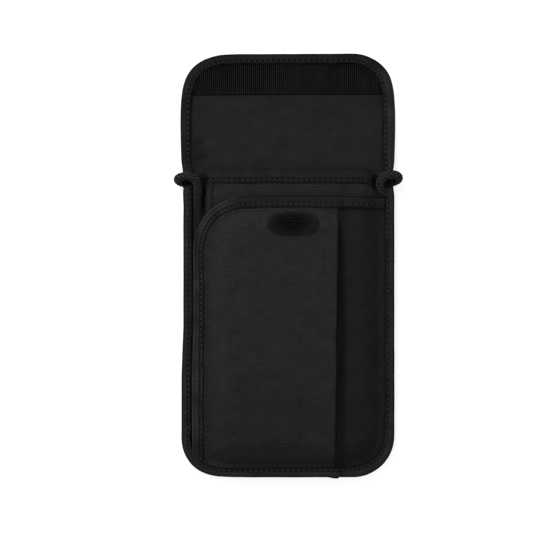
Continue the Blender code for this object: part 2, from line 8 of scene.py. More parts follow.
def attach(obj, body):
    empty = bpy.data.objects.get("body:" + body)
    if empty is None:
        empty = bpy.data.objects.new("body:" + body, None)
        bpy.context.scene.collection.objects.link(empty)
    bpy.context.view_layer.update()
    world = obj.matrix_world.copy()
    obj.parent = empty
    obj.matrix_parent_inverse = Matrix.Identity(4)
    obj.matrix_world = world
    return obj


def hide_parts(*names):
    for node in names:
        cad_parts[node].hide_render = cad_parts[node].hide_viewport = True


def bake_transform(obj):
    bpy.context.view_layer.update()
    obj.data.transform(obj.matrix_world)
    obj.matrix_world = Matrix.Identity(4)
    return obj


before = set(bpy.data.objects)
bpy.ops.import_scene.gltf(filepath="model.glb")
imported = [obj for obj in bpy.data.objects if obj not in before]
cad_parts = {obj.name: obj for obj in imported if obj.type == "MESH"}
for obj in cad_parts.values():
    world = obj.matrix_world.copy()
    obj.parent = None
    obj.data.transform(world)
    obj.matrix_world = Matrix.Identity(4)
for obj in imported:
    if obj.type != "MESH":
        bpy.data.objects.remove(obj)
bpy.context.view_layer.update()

# Looks of the neck pouch wallet. Sizes here are millimetres, and a mesh is scaled to metres when it is made.
MM = 0.001
GAP = 0.3

# The pouch's outline, as in the part.
HALF_WIDTH = 67.7
HALF_LENGTH = 134.3
FLAP_LEFT_RADIUS = 27.6
FLAP_RIGHT_RADIUS = 27.2
BOTTOM_LEFT_RADIUS = 25.0
BOTTOM_RIGHT_RADIUS = 26.4
WAIST_Y = 55.0
WAIST_SHARE = 0.017
WAIST_REACH = 13.0
LEFT_DRAW = 1.2
LEFT_DRAW_TOP = 58.0
LEFT_DRAW_BOTTOM = -78.0
FLAP_SPREAD = 0.0135
FLAP_SPREAD_START = 57.0
SHOULDER = 0.9
SHOULDER_Y = 112.0
CORNER_EASE = 0.6
CORNER_EASE_X = -48.0
FLAP_CLIMB = 0.6
FLAP_TILT = 0.35
FLAP_CLIMB_START = 84.0
BOTTOM_SAG = 0.5
BOTTOM_SAG_START = -100.0
PANEL_INSET = 1.0

BACK_CLOTH = 0.8
POCKET_CLOTH = 0.6
GUSSET_CLOTH = 0.5
TAPE = 0.6
BACK_STACK = TAPE + GAP + BACK_CLOTH
EDGE_TAPE_WIDTH = 6.4
FRONT_TAPE_WIDTH = 7.1
MOUTH_TAPE_WIDTH = 8.0
TAPE_JOIN_X = 29.0
JOIN_LENGTH = 6.0

LOOP_STRIP_LOW = 108.2
LOOP_STRIP_HIGH = 128.4
PASSPORT_MOUTH_Y = 60.3
PASSPORT_LEFT_TOP = -51.7
PASSPORT_LEFT_BOTTOM = -49.0
MOUTH_TAPE_RIGHT = 52.0
FRONT_LEFT = -60.6
FRONT_TOP = 44.0
FRONT_RADIUS = 33.5
FRONT_BOW = 0.8
BOW_MIDDLE = 8.0
BOW_REACH = 50.0
FRONT_TAPE_RIGHT = 61.3
FRONT_TAPE_BOTTOM = -124.0
CARD_RIGHT_TOP = 30.6
CARD_RIGHT_BOTTOM = 28.4
CARD_UNDER_TAPE = 3.6
GUSSET_BOTTOM = -103.0
GUSSET_TOP = 44.4
LOOP_RIB = 1.27  # pitch of the loop strip's ribs
HOOK_CENTRE = (3.2, 26.2)
HOOK_LENGTH = 33.0
HOOK_WIDTH = 14.5
HOOK_SQUARENESS = 2.5
HOOK_SEAM_IN = 1.5
HOOK_PITCH = 1.1
HOOK_ROW = 1.05
HOOK_THREAD = 0.27

LIFT = 5.6
LIFT_FADE_START = 60.0
LIFT_FADE = 40.0
DROOP = 1.6
DROOP_START = -108.0
DROOP_RUN = 26.0
PASSPORT_GAP = 4.4
NOTE_GAP = 4.8
CARD_GAP = 4.4
SEAM = 8.0
RISE = 14.7
LEFT_OPEN_START = -119.5
LEFT_OPEN_RUN = 16.5
LEFT_FULLNESS = 0.75
LEFT_RISE_START = -48.0
LEFT_RISE = 15.0

CORD = 5.3
CORD_END_BULGE = 0.8  # where the cord's right end runs in under the edge tape
STITCH_PITCH = 3.4
STITCH_LENGTH = 2.1
STITCH_THREAD = 0.48
# How high a stitch stands at some shares of its half length: it dips into a hole at both ends.
STITCH_SHAPE = ((-1, -0.34), (-0.72, 0.08), (-0.3, 0.19), (0.3, 0.19), (0.72, 0.08), (1, -0.34))
EDGE_STITCH_IN = 1.8  # from a tape's inner edge, as the next two are
MOUTH_STITCH_IN = 2.0
FRONT_STITCH_IN = 2.1
GROOVE = 0.65  # half the width of a tape's stitched groove
GROOVE_DEPTH = 0.22
TAPE_PUFF = 0.14
TAPE_STEP = 0.57  # between a tape's stations
CELL = 1.15  # size of a cloth grid's squares
CORNER_RUN = 24.0  # length of the closer rows below a front pocket's top edge


def smooth(t):
    t = min(max(t, 0.0), 1.0)
    return t * t * (3 - 2 * t)


def mix(a, b, t):
    return a + (b - a) * t


def bell(value, middle, width):
    return math.exp(-(((value - middle) / width) ** 2))


def ripple(x, y, size, seed):
    """A smooth random height from about -1 to 1 that changes over this size."""
    return noise.noise(Vector((x / size + 17.3 * seed, y / size - 9.1 * seed, 3.71 * seed))) * 1.6


def steps(low, high, size):
    count = max(1, round(abs(high - low) / size))
    return [mix(low, high, i / count) for i in range(count + 1)]


def quads(rows, count, closed=False):
    """Faces between rows of this many points, or between rings of them when they are closed."""
    made = []
    for i in range(rows - 1):
        for j in range(count if closed else count - 1):
            k = (j + 1) % count
            made.append((i * count + j, i * count + k, (i + 1) * count + k, (i + 1) * count + j))
    return made


# ---------------------------------------------------------------- the pouch's outline and heights


def corner_radius(x, y):
    if y > 0:
        return FLAP_RIGHT_RADIUS if x > 0 else FLAP_LEFT_RADIUS
    return BOTTOM_RIGHT_RADIUS if x > 0 else BOTTOM_LEFT_RADIUS


def edge_distance(x, y):
    radius = corner_radius(x, y)
    across = abs(x) - (HALF_WIDTH - radius)
    along = abs(y) - (HALF_LENGTH - radius)
    return radius - math.hypot(max(across, 0), max(along, 0)) - min(max(across, along), 0)


def pouch_side(y, side, inset=PANEL_INSET):
    radius = corner_radius(side, y)
    past = abs(y) - (HALF_LENGTH - radius)
    if past <= 0:
        return side * (HALF_WIDTH - inset)
    reach = math.sqrt(max((radius - inset) ** 2 - past**2, 0))
    return side * (HALF_WIDTH - radius + reach)


def drawn(x, y):
    """The pouch's sideways shape: its waist, its wider flap, and its left side, drawn in below the waist."""
    made = x * (1 - WAIST_SHARE * (1 - smooth(abs(y - WAIST_Y) / WAIST_REACH)))
    made *= 1 + FLAP_SPREAD * smooth((y - FLAP_SPREAD_START) / 36)
    shoulder = bell(y, SHOULDER_Y, 9) * smooth((abs(x) - 40) / 20)
    made -= math.copysign(SHOULDER, x) * shoulder
    below = smooth((LEFT_DRAW_TOP - y) / 20) * smooth((y - LEFT_DRAW_BOTTOM) / 44)
    return made + LEFT_DRAW * below * smooth((-x - 50) / 16)


def raised(x, y):
    """The flap's top edge climbs a little to the right, and the bottom edge is pulled down a little."""
    climb = (FLAP_CLIMB + FLAP_TILT * x / HALF_WIDTH) * smooth((y - FLAP_CLIMB_START) / 44)
    ease = CORNER_EASE * bell(x, CORNER_EASE_X, 9) * smooth((abs(y) - 100) / 30)
    return y + climb - BOTTOM_SAG * smooth((BOTTOM_SAG_START - y) / 30) - math.copysign(ease, y)


def lift(y):
    """How far the cord's hank holds the pouch off what it lies on."""
    on_hank = LIFT * (1 - smooth((y - LIFT_FADE_START) / LIFT_FADE))
    return on_hank - DROOP * smooth((DROOP_START - y) / DROOP_RUN)


def fullness(x, y):
    from_edge = edge_distance(x, y)
    inside = from_edge
    if x < 0:
        from_bottom = y + HALF_LENGTH
        inside = mix(from_edge, from_bottom, smooth((y - LEFT_OPEN_START) / LEFT_OPEN_RUN))
    elif y > 0:
        inside = HALF_WIDTH - x
    return smooth((inside - SEAM) / RISE) * smooth((from_edge - 6.0) / 1.0)


def back_top(x, y):
    return lift(y) + TAPE + GAP + BACK_CLOTH


def open_fullness(x, y):
    return fullness(x, y) * mix(LEFT_FULLNESS, 1, smooth((x - LEFT_RISE_START) / LEFT_RISE))


def passport_under(x, y):
    return back_top(x, y) + GAP + (PASSPORT_GAP - GAP) * open_fullness(x, y)


def front_under(x, y):
    return passport_under(x, y) + POCKET_CLOTH + GAP + (NOTE_GAP - GAP) * open_fullness(x, y)


def front_distance(x, y):
    across = FRONT_LEFT + FRONT_RADIUS - x
    along = y - (FRONT_TOP - FRONT_RADIUS)
    return FRONT_RADIUS - math.hypot(max(across, 0), max(along, 0)) - min(max(across, along), 0)


def card_under(x, y):
    sewn = smooth((front_distance(x, y) - FRONT_TAPE_WIDTH - GAP) / RISE)
    return front_under(x, y) + POCKET_CLOTH + GAP + (CARD_GAP - GAP) * sewn * fullness(x, y)


def front_bow(x, y):
    """The front pocket's top edge is a little lower towards both of its sides."""
    return -FRONT_BOW * ((x - BOW_MIDDLE) / BOW_REACH) ** 2 * smooth((y + 20) / 60)


# ---------------------------------------------------------------- wrinkles

# Creases, each from a point to a point, with its half width and its height (a hollow is below 0).
FLAP_CREASES = (
    (-64, 68, -36, 82, 2.4, 1.1),
    (-64, 64, -38, 72, 2.0, -0.9),
    (-60, 77, -46, 93, 3.0, 0.8),
    (64, 67, 42, 79, 2.6, 1.0),
    (64, 62, 42, 67, 2.2, -0.9),
    (60, 76, 48, 92, 3.0, 0.6),
    (-20, 99, 30, 103, 5.0, -0.5),
)
PASSPORT_CREASES = (
    (-50, 48, -38, 44, 3.5, 0.3),
    (61, 57, 50, 47, 3.6, -0.9),
)
CARD_CREASES = (
    (-40, 30, -20, 8, 7.0, 0.35),
    (-8, -20, 26, -34, 9.0, 0.3),
    (-46, -60, -12, -84, 8.0, -0.35),
    (24, -96, -24, -112, 7.0, 0.4),
    (-50, -112, -36, -96, 4.0, 0.35),
)
FRONT_CREASES = (
    (36, -70, 56, -100, 6.0, 0.6),
    (34, 20, 58, 6, 6.0, 0.5),
    (38, -118, 54, -104, 3.5, 0.45),
    (57, 34, 44, 24, 4.0, -0.4),
)


def crease(x, y, line):
    """How much one crease lifts the cloth here: it fades out along its length and to its sides."""
    x0, y0, x1, y1, width, height = line
    dx, dy = x1 - x0, y1 - y0
    length = math.hypot(dx, dy)
    along = ((x - x0) * dx + (y - y0) * dy) / length
    side = ((x - x0) * dy - (y - y0) * dx) / length
    end_fade = smooth(along / (0.35 * length)) * smooth((length - along) / (0.35 * length))
    return height * bell(side, 0, width) * end_fade


def creases(x, y, lines):
    return sum(crease(x, y, line) for line in lines)


class Settled:
    """Cloth that is let go for a moment, held at its seams, and how far each of its points then moved.

    It is simulated ten times as large as life, which suits the solver, and a little too large for its seams,
    so that it puckers. held(x, y) is 1 where it is sewn and near 0 where it is loose.
    """

    SCALE = 10 * MM
    MOST = 1.0  # the farthest that a point may move
    FRAMES = 16
    CLOTH = {
        "quality": 6,
        "mass": 0.25,
        "tension_stiffness": 25,
        "compression_stiffness": 25,
        "shear_stiffness": 8,
        "bending_stiffness": 0.35,
        "pin_stiffness": 1.0,
        "shrink_min": -0.02,
    }

    def __init__(self, low, high, height, held, cell=2.4):
        self.low, self.high = low, high
        self.wide = round((high[0] - low[0]) / cell)
        self.tall = round((high[1] - low[1]) / cell)
        self.rises = [[0.0] * (self.wide + 1) for _ in range(self.tall + 1)]
        self.run(height, held)

    def run(self, height, held):
        points, weights = [], []
        for j in range(self.tall + 1):
            for i in range(self.wide + 1):
                x = mix(self.low[0], self.high[0], i / self.wide)
                y = mix(self.low[1], self.high[1], j / self.tall)
                z = height(x, y) + 0.12 * ripple(x, y, 6, 77)
                points.append((x * self.SCALE, y * self.SCALE, z * self.SCALE))
                weights.append(held(x, y))
        row = self.wide + 1
        mesh = bpy.data.meshes.new("settling")
        mesh.from_pydata(points, [], quads(self.tall + 1, row))
        piece = bpy.data.objects.new("settling", mesh)
        bpy.context.scene.collection.objects.link(piece)
        group = piece.vertex_groups.new(name="held")
        for index, weight in enumerate(weights):
            group.add([index], weight, "REPLACE")
        cloth = piece.modifiers.new("settling", "CLOTH")
        for name, value in self.CLOTH.items():
            setattr(cloth.settings, name, value)
        cloth.settings.vertex_group_mass = "held"
        cloth.settings.effector_weights.gravity = 0.15
        cloth.point_cache.frame_start = 1
        cloth.point_cache.frame_end = self.FRAMES
        scene = bpy.context.scene
        for number in range(1, self.FRAMES + 1):
            scene.frame_set(number)
        moved = piece.evaluated_get(bpy.context.evaluated_depsgraph_get()).to_mesh()
        for j in range(self.tall + 1):
            for i in range(self.wide + 1):
                index = j * row + i
                rise = (moved.vertices[index].co.z - points[index][2]) / self.SCALE
                self.rises[j][i] = max(-self.MOST, min(self.MOST, rise))
        bpy.data.objects.remove(piece)
        scene.frame_set(1)

    def at(self, x, y):
        """How far the cloth rose here."""
        across = (x - self.low[0]) / (self.high[0] - self.low[0]) * self.wide
        along = (y - self.low[1]) / (self.high[1] - self.low[1]) * self.tall
        across = min(max(across, 0.0), self.wide - 1e-6)
        along = min(max(along, 0.0), self.tall - 1e-6)
        i, j = int(across), int(along)
        a = mix(self.rises[j][i], self.rises[j][i + 1], across - i)
        b = mix(self.rises[j + 1][i], self.rises[j + 1][i + 1], across - i)
        return mix(a, b, along - j)


def flap_held(x, y):
    return 1.0 if edge_distance(x, y) < EDGE_TAPE_WIDTH + 0.5 else mix(0.25, 0.004, smooth((y - 64) / 16))


def front_held(x, y):
    if edge_distance(x, y) < SEAM + 0.5 or front_distance(x, y) < FRONT_TAPE_WIDTH:
        return 1.0
    return mix(0.004, 0.3, smooth((28 - x) / 4))


def card_held(x, y):
    if edge_distance(x, y) < SEAM + 0.5 or front_distance(x, y) < FRONT_TAPE_WIDTH + 0.5:
        return 1.0
    in_patch = math.hypot((x - HOOK_CENTRE[0]) / HOOK_LENGTH, (y - HOOK_CENTRE[1]) / HOOK_WIDTH)
    return mix(0.004, 0.6, smooth((0.75 - in_patch) / 0.2))


flap_settled = Settled((-67, 58), (67, 134), back_top, flap_held)
front_settled = Settled((20, -133), (67, 43), front_under, front_held)
card_settled = Settled((-60, -133), (32, 43), card_under, card_held)


def settle(x, y):
    """The unevenness that all the layers share."""
    inside = smooth((edge_distance(x, y) - 5) / 14)
    return 0.28 * inside * ripple(x, y, 34, 1) + 0.05 * ripple(x, y, 7, 2)


def back_relief(x, y):
    on_flap = smooth((y - 62) / 14)
    broad = 0.42 * ripple(x, y, 22, 3) * smooth((edge_distance(x, y) - 6) / 8)
    loose = flap_settled.at(x, y) if y > 58 else 0.0
    return settle(x, y) + (broad + loose + creases(x, y, FLAP_CREASES)) * on_flap


def back_height(x, y):
    return back_top(x, y) + back_relief(x, y)


def passport_relief(x, y):
    free = open_fullness(x, y)
    mouth = smooth((y - 30) / 14)
    return settle(x, y) + free * 0.3 * ripple(x, y, 17, 4) + mouth * creases(x, y, PASSPORT_CREASES)


def front_relief(x, y):
    free = open_fullness(x, y)
    loose = front_settled.at(x, y) * smooth((x - 20) / 6)
    return settle(x, y) + free * (0.42 * ripple(x, y, 21, 5) + creases(x, y, FRONT_CREASES)) + loose


def card_relief(x, y):
    free = smooth((front_distance(x, y) - FRONT_TAPE_WIDTH) / 9) * smooth((y + HALF_LENGTH - 6) / 12)
    near_tape = smooth((front_distance(x, y) - FRONT_TAPE_WIDTH) / 4)
    pucker = 0.1 * ripple(x, y, 4.5, 7) * (1 - smooth((front_distance(x, y) - 7) / 9))
    broad = 0.4 * ripple(x, y, 26, 6) + 0.12 * ripple(x, y * 0.6, 9, 8)
    loose = near_tape * card_settled.at(x, y)
    return settle(x, y) + pucker + free * (broad + creases(x, y, CARD_CREASES)) + loose


# Places that little light reaches, where painted shade makes the cloth a deeper black. Each has its middle,
# half its width, half its length and its strength.
HOLLOWS = (
    (-53.9, 43.0, 2.0, 12.5, 1.0),
    (-54.4, 53.0, 3.4, 5.0, 0.85),
    (-64.0, 51.9, 4.0, 2.3, 0.85),
    (55.3, 52.6, 2.4, 6.4, 0.95),
    (58.5, 46.4, 3.4, 1.6, 0.8),
    (63.4, 51.6, 2.6, 3.8, 0.85),
    (-61.2, 30.0, 0.8, 34.0, 0.85),
    (-58.2, 24.0, 0.5, 26.0, 0.6),
    (34.0, -45.0, 2.6, 86.0, 0.55),
    (2.4, 26.6, 13.6, 6.6, 0.8),
    (-14.0, -98.0, 44.0, 26.0, 0.13),
    (-60.0, 72.0, 9.0, 11.0, 0.32),
    (60.0, 71.0, 5.0, 9.0, 0.2),
    (-60.9, 92.0, 0.9, 30.0, 0.45),
    (60.0, 92.0, 0.9, 30.0, 0.45),
)


def hollow_shade(x, y):
    made = 0.0
    for middle_x, middle_y, wide, long, strength in HOLLOWS:
        away = ((x - middle_x) / wide) ** 2 + ((y - middle_y) / long) ** 2
        made = max(made, strength * math.exp(-(away**2)))
    return made


# ---------------------------------------------------------------- meshes


def mesh_object(name, points, faces, uvs, marks=None):
    mesh = bpy.data.meshes.new(name)
    mesh.from_pydata([(x * MM, y * MM, z * MM) for x, y, z in points], [], faces)
    layer = mesh.uv_layers.new(name="cloth")
    for loop in mesh.loops:
        layer.data[loop.index].uv = uvs[loop.vertex_index]
    for key, values in (marks or {}).items():
        mesh.attributes.new(key, "FLOAT", "POINT").data.foreach_set("value", values)
    mesh.polygons.foreach_set("use_smooth", [True] * len(mesh.polygons))
    mesh.update()
    made = bpy.data.objects.new(name, mesh)
    bpy.context.scene.collection.objects.link(made)
    return made


def grid(name, columns, rows, point):
    """A sheet: point(column, row) gives each crossing's place and its place on the flat cloth."""
    points, uvs, marks = [], [], []
    for row in rows:
        for column in columns:
            place, flat = point(column, row)
            points.append(place)
            uvs.append(flat)
            # Each point carries the painted shade of the hollows.
            marks.append(hollow_shade(*flat))
    return mesh_object(name, points, quads(len(rows), len(columns)), uvs, {"hole_and_painted_shade": marks})


def thicken(sheet, thickness, even=True, side=1):
    """Gives a sheet its thickness, on the side that its faces look to, or on the other (-1)."""
    solid = sheet.modifiers.new("cloth", "SOLIDIFY")
    solid.thickness = thickness * MM
    solid.offset = side
    solid.use_even_offset = even
    return sheet


def arc_rows(radius, end):
    """Rows round a corner of the pouch, from its end edge inwards."""
    reach = radius - PANEL_INSET
    centre = end * (HALF_LENGTH - radius)
    turns = [math.radians(90 * i / 22) for i in range(23)]
    return [centre + end * reach * math.cos(turn) for turn in turns]


def body_rows(top):
    corner = arc_rows(BOTTOM_LEFT_RADIUS, -1)
    return corner + steps(corner[-1], top, CELL)[1:]


def panel(name, rows, left, right, height, thickness, shift=None, hem=None):
    """A cloth panel from side to side. A hem, a width and depth_at(x, y), turns its right edge under."""
    count = round((right(0) - left(0)) / CELL)
    shares = [i / count for i in range(count + 1)]
    turn = []
    if hem:
        width, depth_at = hem
        turn = [("fold", degrees) for degrees in (30, 60, 90, 120, 150, 180)]
        turn += [("back", width * i / 4) for i in (1, 2, 3, 4)]

    def point(column, y):
        if not isinstance(column, tuple):
            x = mix(left(y), right(y), column)
            z = height(x, y)
            flat = (x, y)
        else:
            kind, value = column
            edge = right(y)
            depth = depth_at(edge, y)
            z = height(edge, y)
            if kind == "fold":
                x = edge + 0.35 * math.sin(math.radians(value))
                z -= depth * (1 - math.cos(math.radians(value))) / 2
                flat = (edge + value / 90, y)
            else:
                x = edge - value
                z = height(x, y) - depth_at(x, y)
                flat = (edge + 2 + value, y)
        moved = y + shift(x, y) if shift else y
        return (drawn(x, y), raised(x, moved), z), flat

    return thicken(grid(name, shares + turn, rows, point), thickness)


def capped(rings, sides):
    """Faces between closed rings of points and across both of the ends."""
    first = tuple(range(sides))[::-1]
    last = tuple(range((rings - 1) * sides, rings * sides))
    return [*quads(rings, sides, closed=True), first, last]


def tube(points, sides, out_to):
    """Rings of points round a line, and their faces. out_to(ring, side, way) leads from the line to each."""
    count = len(points)
    tangents = []
    for i in range(count):
        tangents.append((points[min(i + 1, count - 1)] - points[max(i - 1, 0)]).normalized())
    side_way = tangents[0].orthogonal().normalized()
    made = []
    for i in range(count):
        side_way = (side_way - tangents[i] * side_way.dot(tangents[i])).normalized()
        up_way = tangents[i].cross(side_way)
        for j in range(sides):
            turn = 2 * math.pi * j / sides
            out = side_way * math.cos(turn) + up_way * math.sin(turn)
            made.append(points[i] + out_to(i, j, out))
    return made, capped(count, sides)


class Threads:
    """Many short threads in one mesh."""

    def __init__(self):
        self.points, self.faces, self.uvs = [], [], []

    def add(self, line, thickness, sides=6):
        made, faces = tube([Vector(p) for p in line], sides, lambda i, j, out: out * thickness / 2)
        start = len(self.points)
        self.points += [tuple(p) for p in made]
        self.uvs += [(start % 97 + i % sides, i // sides) for i in range(len(made))]
        self.faces += [tuple(start + i for i in face) for face in faces]

    def done(self, name):
        return mesh_object(name, self.points, self.faces, self.uvs)


def sew(threads, at, length, seed, pitch=STITCH_PITCH, thickness=STITCH_THREAD):
    """Stitches along at(s), the cloth's surface s along a seam: each dips in at both of its ends."""
    count = int(length / pitch)
    for i in range(count):
        middle = (i + 0.5) * length / count + 0.12 * ripple(i * 3.3, 0, 1.7, seed)
        half = STITCH_LENGTH / 2 * (1 + 0.08 * ripple(i * 1.7, 5, 1.3, seed))
        line = []
        for share, rise in STITCH_SHAPE:
            s = min(max(middle + share * half, 0), length)
            x, y, z = at(s)
            line.append((x, y, z + rise))
        threads.add(line, thickness)


# ---------------------------------------------------------------- folded tapes


def tape_section(width, low, high, line_in, fold):
    """A folded tape's outline, and at each point its share of pale wear and painted highlight: over the top,
    round the fold, and below.
    """
    reach = min(fold, (high - low) / 2)
    middle = (high + low) / 2
    half = (high - low) / 2
    line = width - line_in
    made = [
        (width, high - 0.02, 0.2),
        (width - 0.42, high + 0.18, 0.5),
        (line + GROOVE, high + 0.08, 0.5),
        (line, high - GROOVE_DEPTH, 0),
        (line - GROOVE, high, 0),
        (mix(line, reach, 0.45), high + TAPE_PUFF, 0.7),
        (reach + 0.7, high + TAPE_PUFF * 0.6, 0.35),
    ]
    for degrees in (0, 25, 50, 75, 105, 130, 155, 180):
        turn = math.radians(degrees)
        wear_and_highlight = 1.0 if 10 < degrees < 60 else 0.2
        made.append((reach - reach * math.sin(turn), middle + half * math.cos(turn), wear_and_highlight))
    made += [(line - GROOVE, low, 0), (line, low + GROOVE_DEPTH * 0.6, 0), (line + GROOVE, low, 0)]
    made += [(width, low + 0.1, 0.5), (width, low + TAPE, 0), (TAPE, low + TAPE, 0)]
    return [*made, (TAPE, high - TAPE, 0), (width, high - TAPE + 0.15, 0)]


# Painted shade on a tape at some points of its section: its inner edge, its stitched groove and its fold.
INNER_DARK = {0: 1.0, 1: 0.6, 3: 0.55}
FOLD_DARK = {8: 0.75, 9: 0.95, 10: 0.95, 11: 0.95, 12: 0.95, 13: 0.9, 14: 0.9, 15: 0.6}
FRONT_FOLD_DARK = {7: 0.1, 8: 0.7, 9: 0.95, 10: 0.95, 11: 0.95, 12: 0.95, 13: 0.9, 14: 0.9, 15: 0.6}


def body_outline(x, y):
    """How much painted shade the turn of the edge tape's fold gets: most where the pouch stands off what it
    lies on.
    """
    return mix(0.35, 1.0, max(smooth((62 - y) / 14), 0.6 * smooth((y - 122) / 8)))


def edge_shade(x, y):
    """Painted shade on the edge tape along the flap's top and left, where little light catches it."""
    return max(0.48 * smooth((y - 122) / 6), mix(0.1, 0.38, smooth((20 - x) / 40)) * smooth((y - 56) / 12))


def front_outline(x, y):
    """The front tape's fold gets painted shade along the pocket's top only."""
    return smooth((x + 40) / 22)


def front_inner(x, y):
    """The painted shade along its inner edge is strongest down the left side."""
    return mix(1.0, 0.45, smooth((x + 45) / 20))


def front_shade(x, y):
    """It is a little darker down the left side."""
    return 0.24 * smooth((-14 - x) / 24)


def edge_spread(x, y):
    """The edge tape is wider at the flap's right and the bottom right corner, and narrower elsewhere."""
    flap = 1.2 * smooth((y - 60) / 16) * smooth((x - 40) / 20)
    sides = -0.5 * smooth((60 - y) / 16) * mix(1, smooth((y + 122) / 14), smooth((x + 30) / 40))
    return flap + sides + 0.9 * smooth((-88 - y) / 26) * smooth((x - 24) / 26)


def nowhere(x, y):
    return 0.0


class Tape:
    """A tape folded round an edge. A station is a place on the fold, the way inwards, a low and a high."""

    def __init__(self, stations, width, line_in, seed, tilt=None, fold=1.15, **looks):
        self.width, self.line_in, self.seed, self.tilt, self.fold = width, line_in, seed, tilt, fold
        self.rubbed = looks.get("rubbed", lambda x: 1.0)
        self.fold_dark = looks.get("fold_dark", FOLD_DARK)
        self.outline = looks.get("outline", body_outline)
        self.shade = looks.get("shade", nowhere)
        self.extra = looks.get("extra", nowhere)
        self.inner = looks.get("inner", lambda x, y: 1.0)
        self.stations = stations
        self.lengths = [0.0]
        for (a, *_), (b, *_) in zip(stations, stations[1:]):
            self.lengths.append(self.lengths[-1] + (b - a).length)
        self.length = self.lengths[-1]
        self.pitch = self.length / int(self.length / STITCH_PITCH)

    def wobble(self, s):
        return 0.26 * ripple(s, 0, 19, self.seed) + 0.1 * ripple(s, 3, 6, self.seed)

    def put(self, station, s, across, z):
        point, inward = station[:2]
        spread_here = self.extra(*point) * smooth((across - 1.5) / 2)
        across += spread_here + self.wobble(s) * mix(0.3, 1.0, smooth(across / 3))
        x, y = point + inward * across
        if self.tilt:
            y += self.tilt(x, y)
        return (drawn(x, y), raised(x, y), z)

    def swell(self, s):
        return 0.07 * math.cos(2 * math.pi * s / self.pitch) + 0.16 * ripple(s, 8, 11, self.seed)

    def hole_and_painted_shade(self, s):
        """1 where the needle went in, between two stitches: the groove dips there and gets painted shade."""
        return (0.5 + 0.5 * math.cos(2 * math.pi * s / self.pitch)) ** 2

    def build(self, name):
        points, uvs, wear_and_painted_light, painted_shades = [], [], [], []
        for station, s in zip(self.stations, self.lengths):
            at, _, low, high = station
            section = tape_section(self.width, low, high, self.line_in, self.fold)
            run = 0.0
            for i, (across, z, wear_and_highlight) in enumerate(section):
                top_face = i < 8
                rise = self.swell(s) if 4 <= i < 9 else 0.0
                if top_face and i >= 1:
                    rise += 0.05 * ripple(s, across, 2.4, self.seed + 2)
                hole_and_painted_shade = self.hole_and_painted_shade(s) if i == 3 else 0.0
                rise -= 0.22 * hole_and_painted_shade
                place = self.put(station, s, across, z + rise)
                # Painted shade at this point: the tape's inner edge, groove and fold, the needle holes, the
                # hollows and the tape's shade.
                inner_edge = INNER_DARK.get(i, 0.0) * self.inner(*at)
                dark = inner_edge + self.fold_dark.get(i, 0.0) * self.outline(*at)
                dark *= 1 + 0.25 * ripple(s, i, 5, self.seed + 6) * top_face
                dark = max(dark + 0.8 * hole_and_painted_shade, hollow_shade(place[0], place[1]))
                dark = 1 - (1 - min(max(dark, 0.0), 1.0)) * (1 - self.shade(*at))
                painted_shades.append(dark)
                points.append(place)
                if i:
                    run += math.hypot(across - section[i - 1][0], z - section[i - 1][1])
                uvs.append((s, run))
                # A paler colour on the tape's top and fold: partly wear, partly a painted highlight.
                rub = wear_and_highlight * self.rubbed(at.x) * (0.75 + 0.5 * ripple(s, i, 8, self.seed + 4))
                wear_and_painted_light.append(min(1.0, max(0.0, rub)))
        faces = capped(len(self.stations), len(section))
        made = mesh_object(name, points, faces, uvs, {"wear_and_painted_light": wear_and_painted_light, "hole_and_painted_shade": painted_shades})
        made.data.set_sharp_from_angle(angle=math.radians(48))
        return made

    def seam_at(self, s, under=False):
        """The middle of the seam's groove, s along the tape."""
        low_index, high_index = 0, len(self.lengths) - 1
        while high_index - low_index > 1:
            index = (low_index + high_index) // 2
            if self.lengths[index] > s:
                high_index = index
            else:
                low_index = index
        between = max(self.lengths[high_index] - self.lengths[low_index], 1e-6)
        share = (s - self.lengths[low_index]) / between
        ends = []
        for i in (low_index, high_index):
            station = self.stations[i]
            z = station[2] + 0.12 if under else station[3] - 0.2
            ends.append(Vector(self.put(station, self.lengths[i], self.width - self.line_in, z)))
        return tuple(ends[0].lerp(ends[1], share))


def faces_out(made):
    """Turns a closed mesh's faces outwards."""
    work = bmesh.new()
    work.from_mesh(made.data)
    bmesh.ops.recalc_face_normals(work, faces=work.faces)
    work.to_mesh(made.data)
    work.free()
    return made


def right_stack(y):
    """The layers inside the edge tape down the right side."""
    pockets = 2 * (GAP + POCKET_CLOTH)
    return BACK_STACK + pockets * smooth((69 - y) / 8)


def left_stack(y):
    """The layers inside it down the left side: the gusset, and at the bottom all three pockets."""
    gusset = GAP + GUSSET_CLOTH
    pockets = 3 * (GAP + POCKET_CLOTH)
    side = gusset * smooth((60 - y) / 12)
    return BACK_STACK + mix(side, pockets, smooth((-96 - y) / 12))


def level(low, high, y, inward):
    """Places and ways inwards along a level line."""
    return [(Vector((x, y)), Vector((0, inward))) for x in steps(low, high, TAPE_STEP)]


def upright(low, high, x, inward):
    """Places and ways inwards along an upright line."""
    return [(Vector((x, y)), Vector((inward, 0))) for y in steps(low, high, TAPE_STEP)]


def turned(centre, radius, side, end, turns):
    """Places and ways inwards round a corner, at these turns in degrees."""
    made = []
    for degrees in turns:
        turn = math.radians(degrees)
        outward = Vector((side * math.cos(turn), end * math.sin(turn)))
        made.append((centre + outward * radius, -outward))
    return made


def pouch_corner(side, end, way):
    """One corner of the pouch, from its side to its end, or the other way (-1), without its first place."""
    radius = corner_radius(side, end)
    centre = Vector((side * (HALF_WIDTH - radius), end * (HALF_LENGTH - radius)))
    turns = steps(0, 90, math.degrees(TAPE_STEP / radius))
    return turned(centre, radius, side, end, turns[::way][1:])


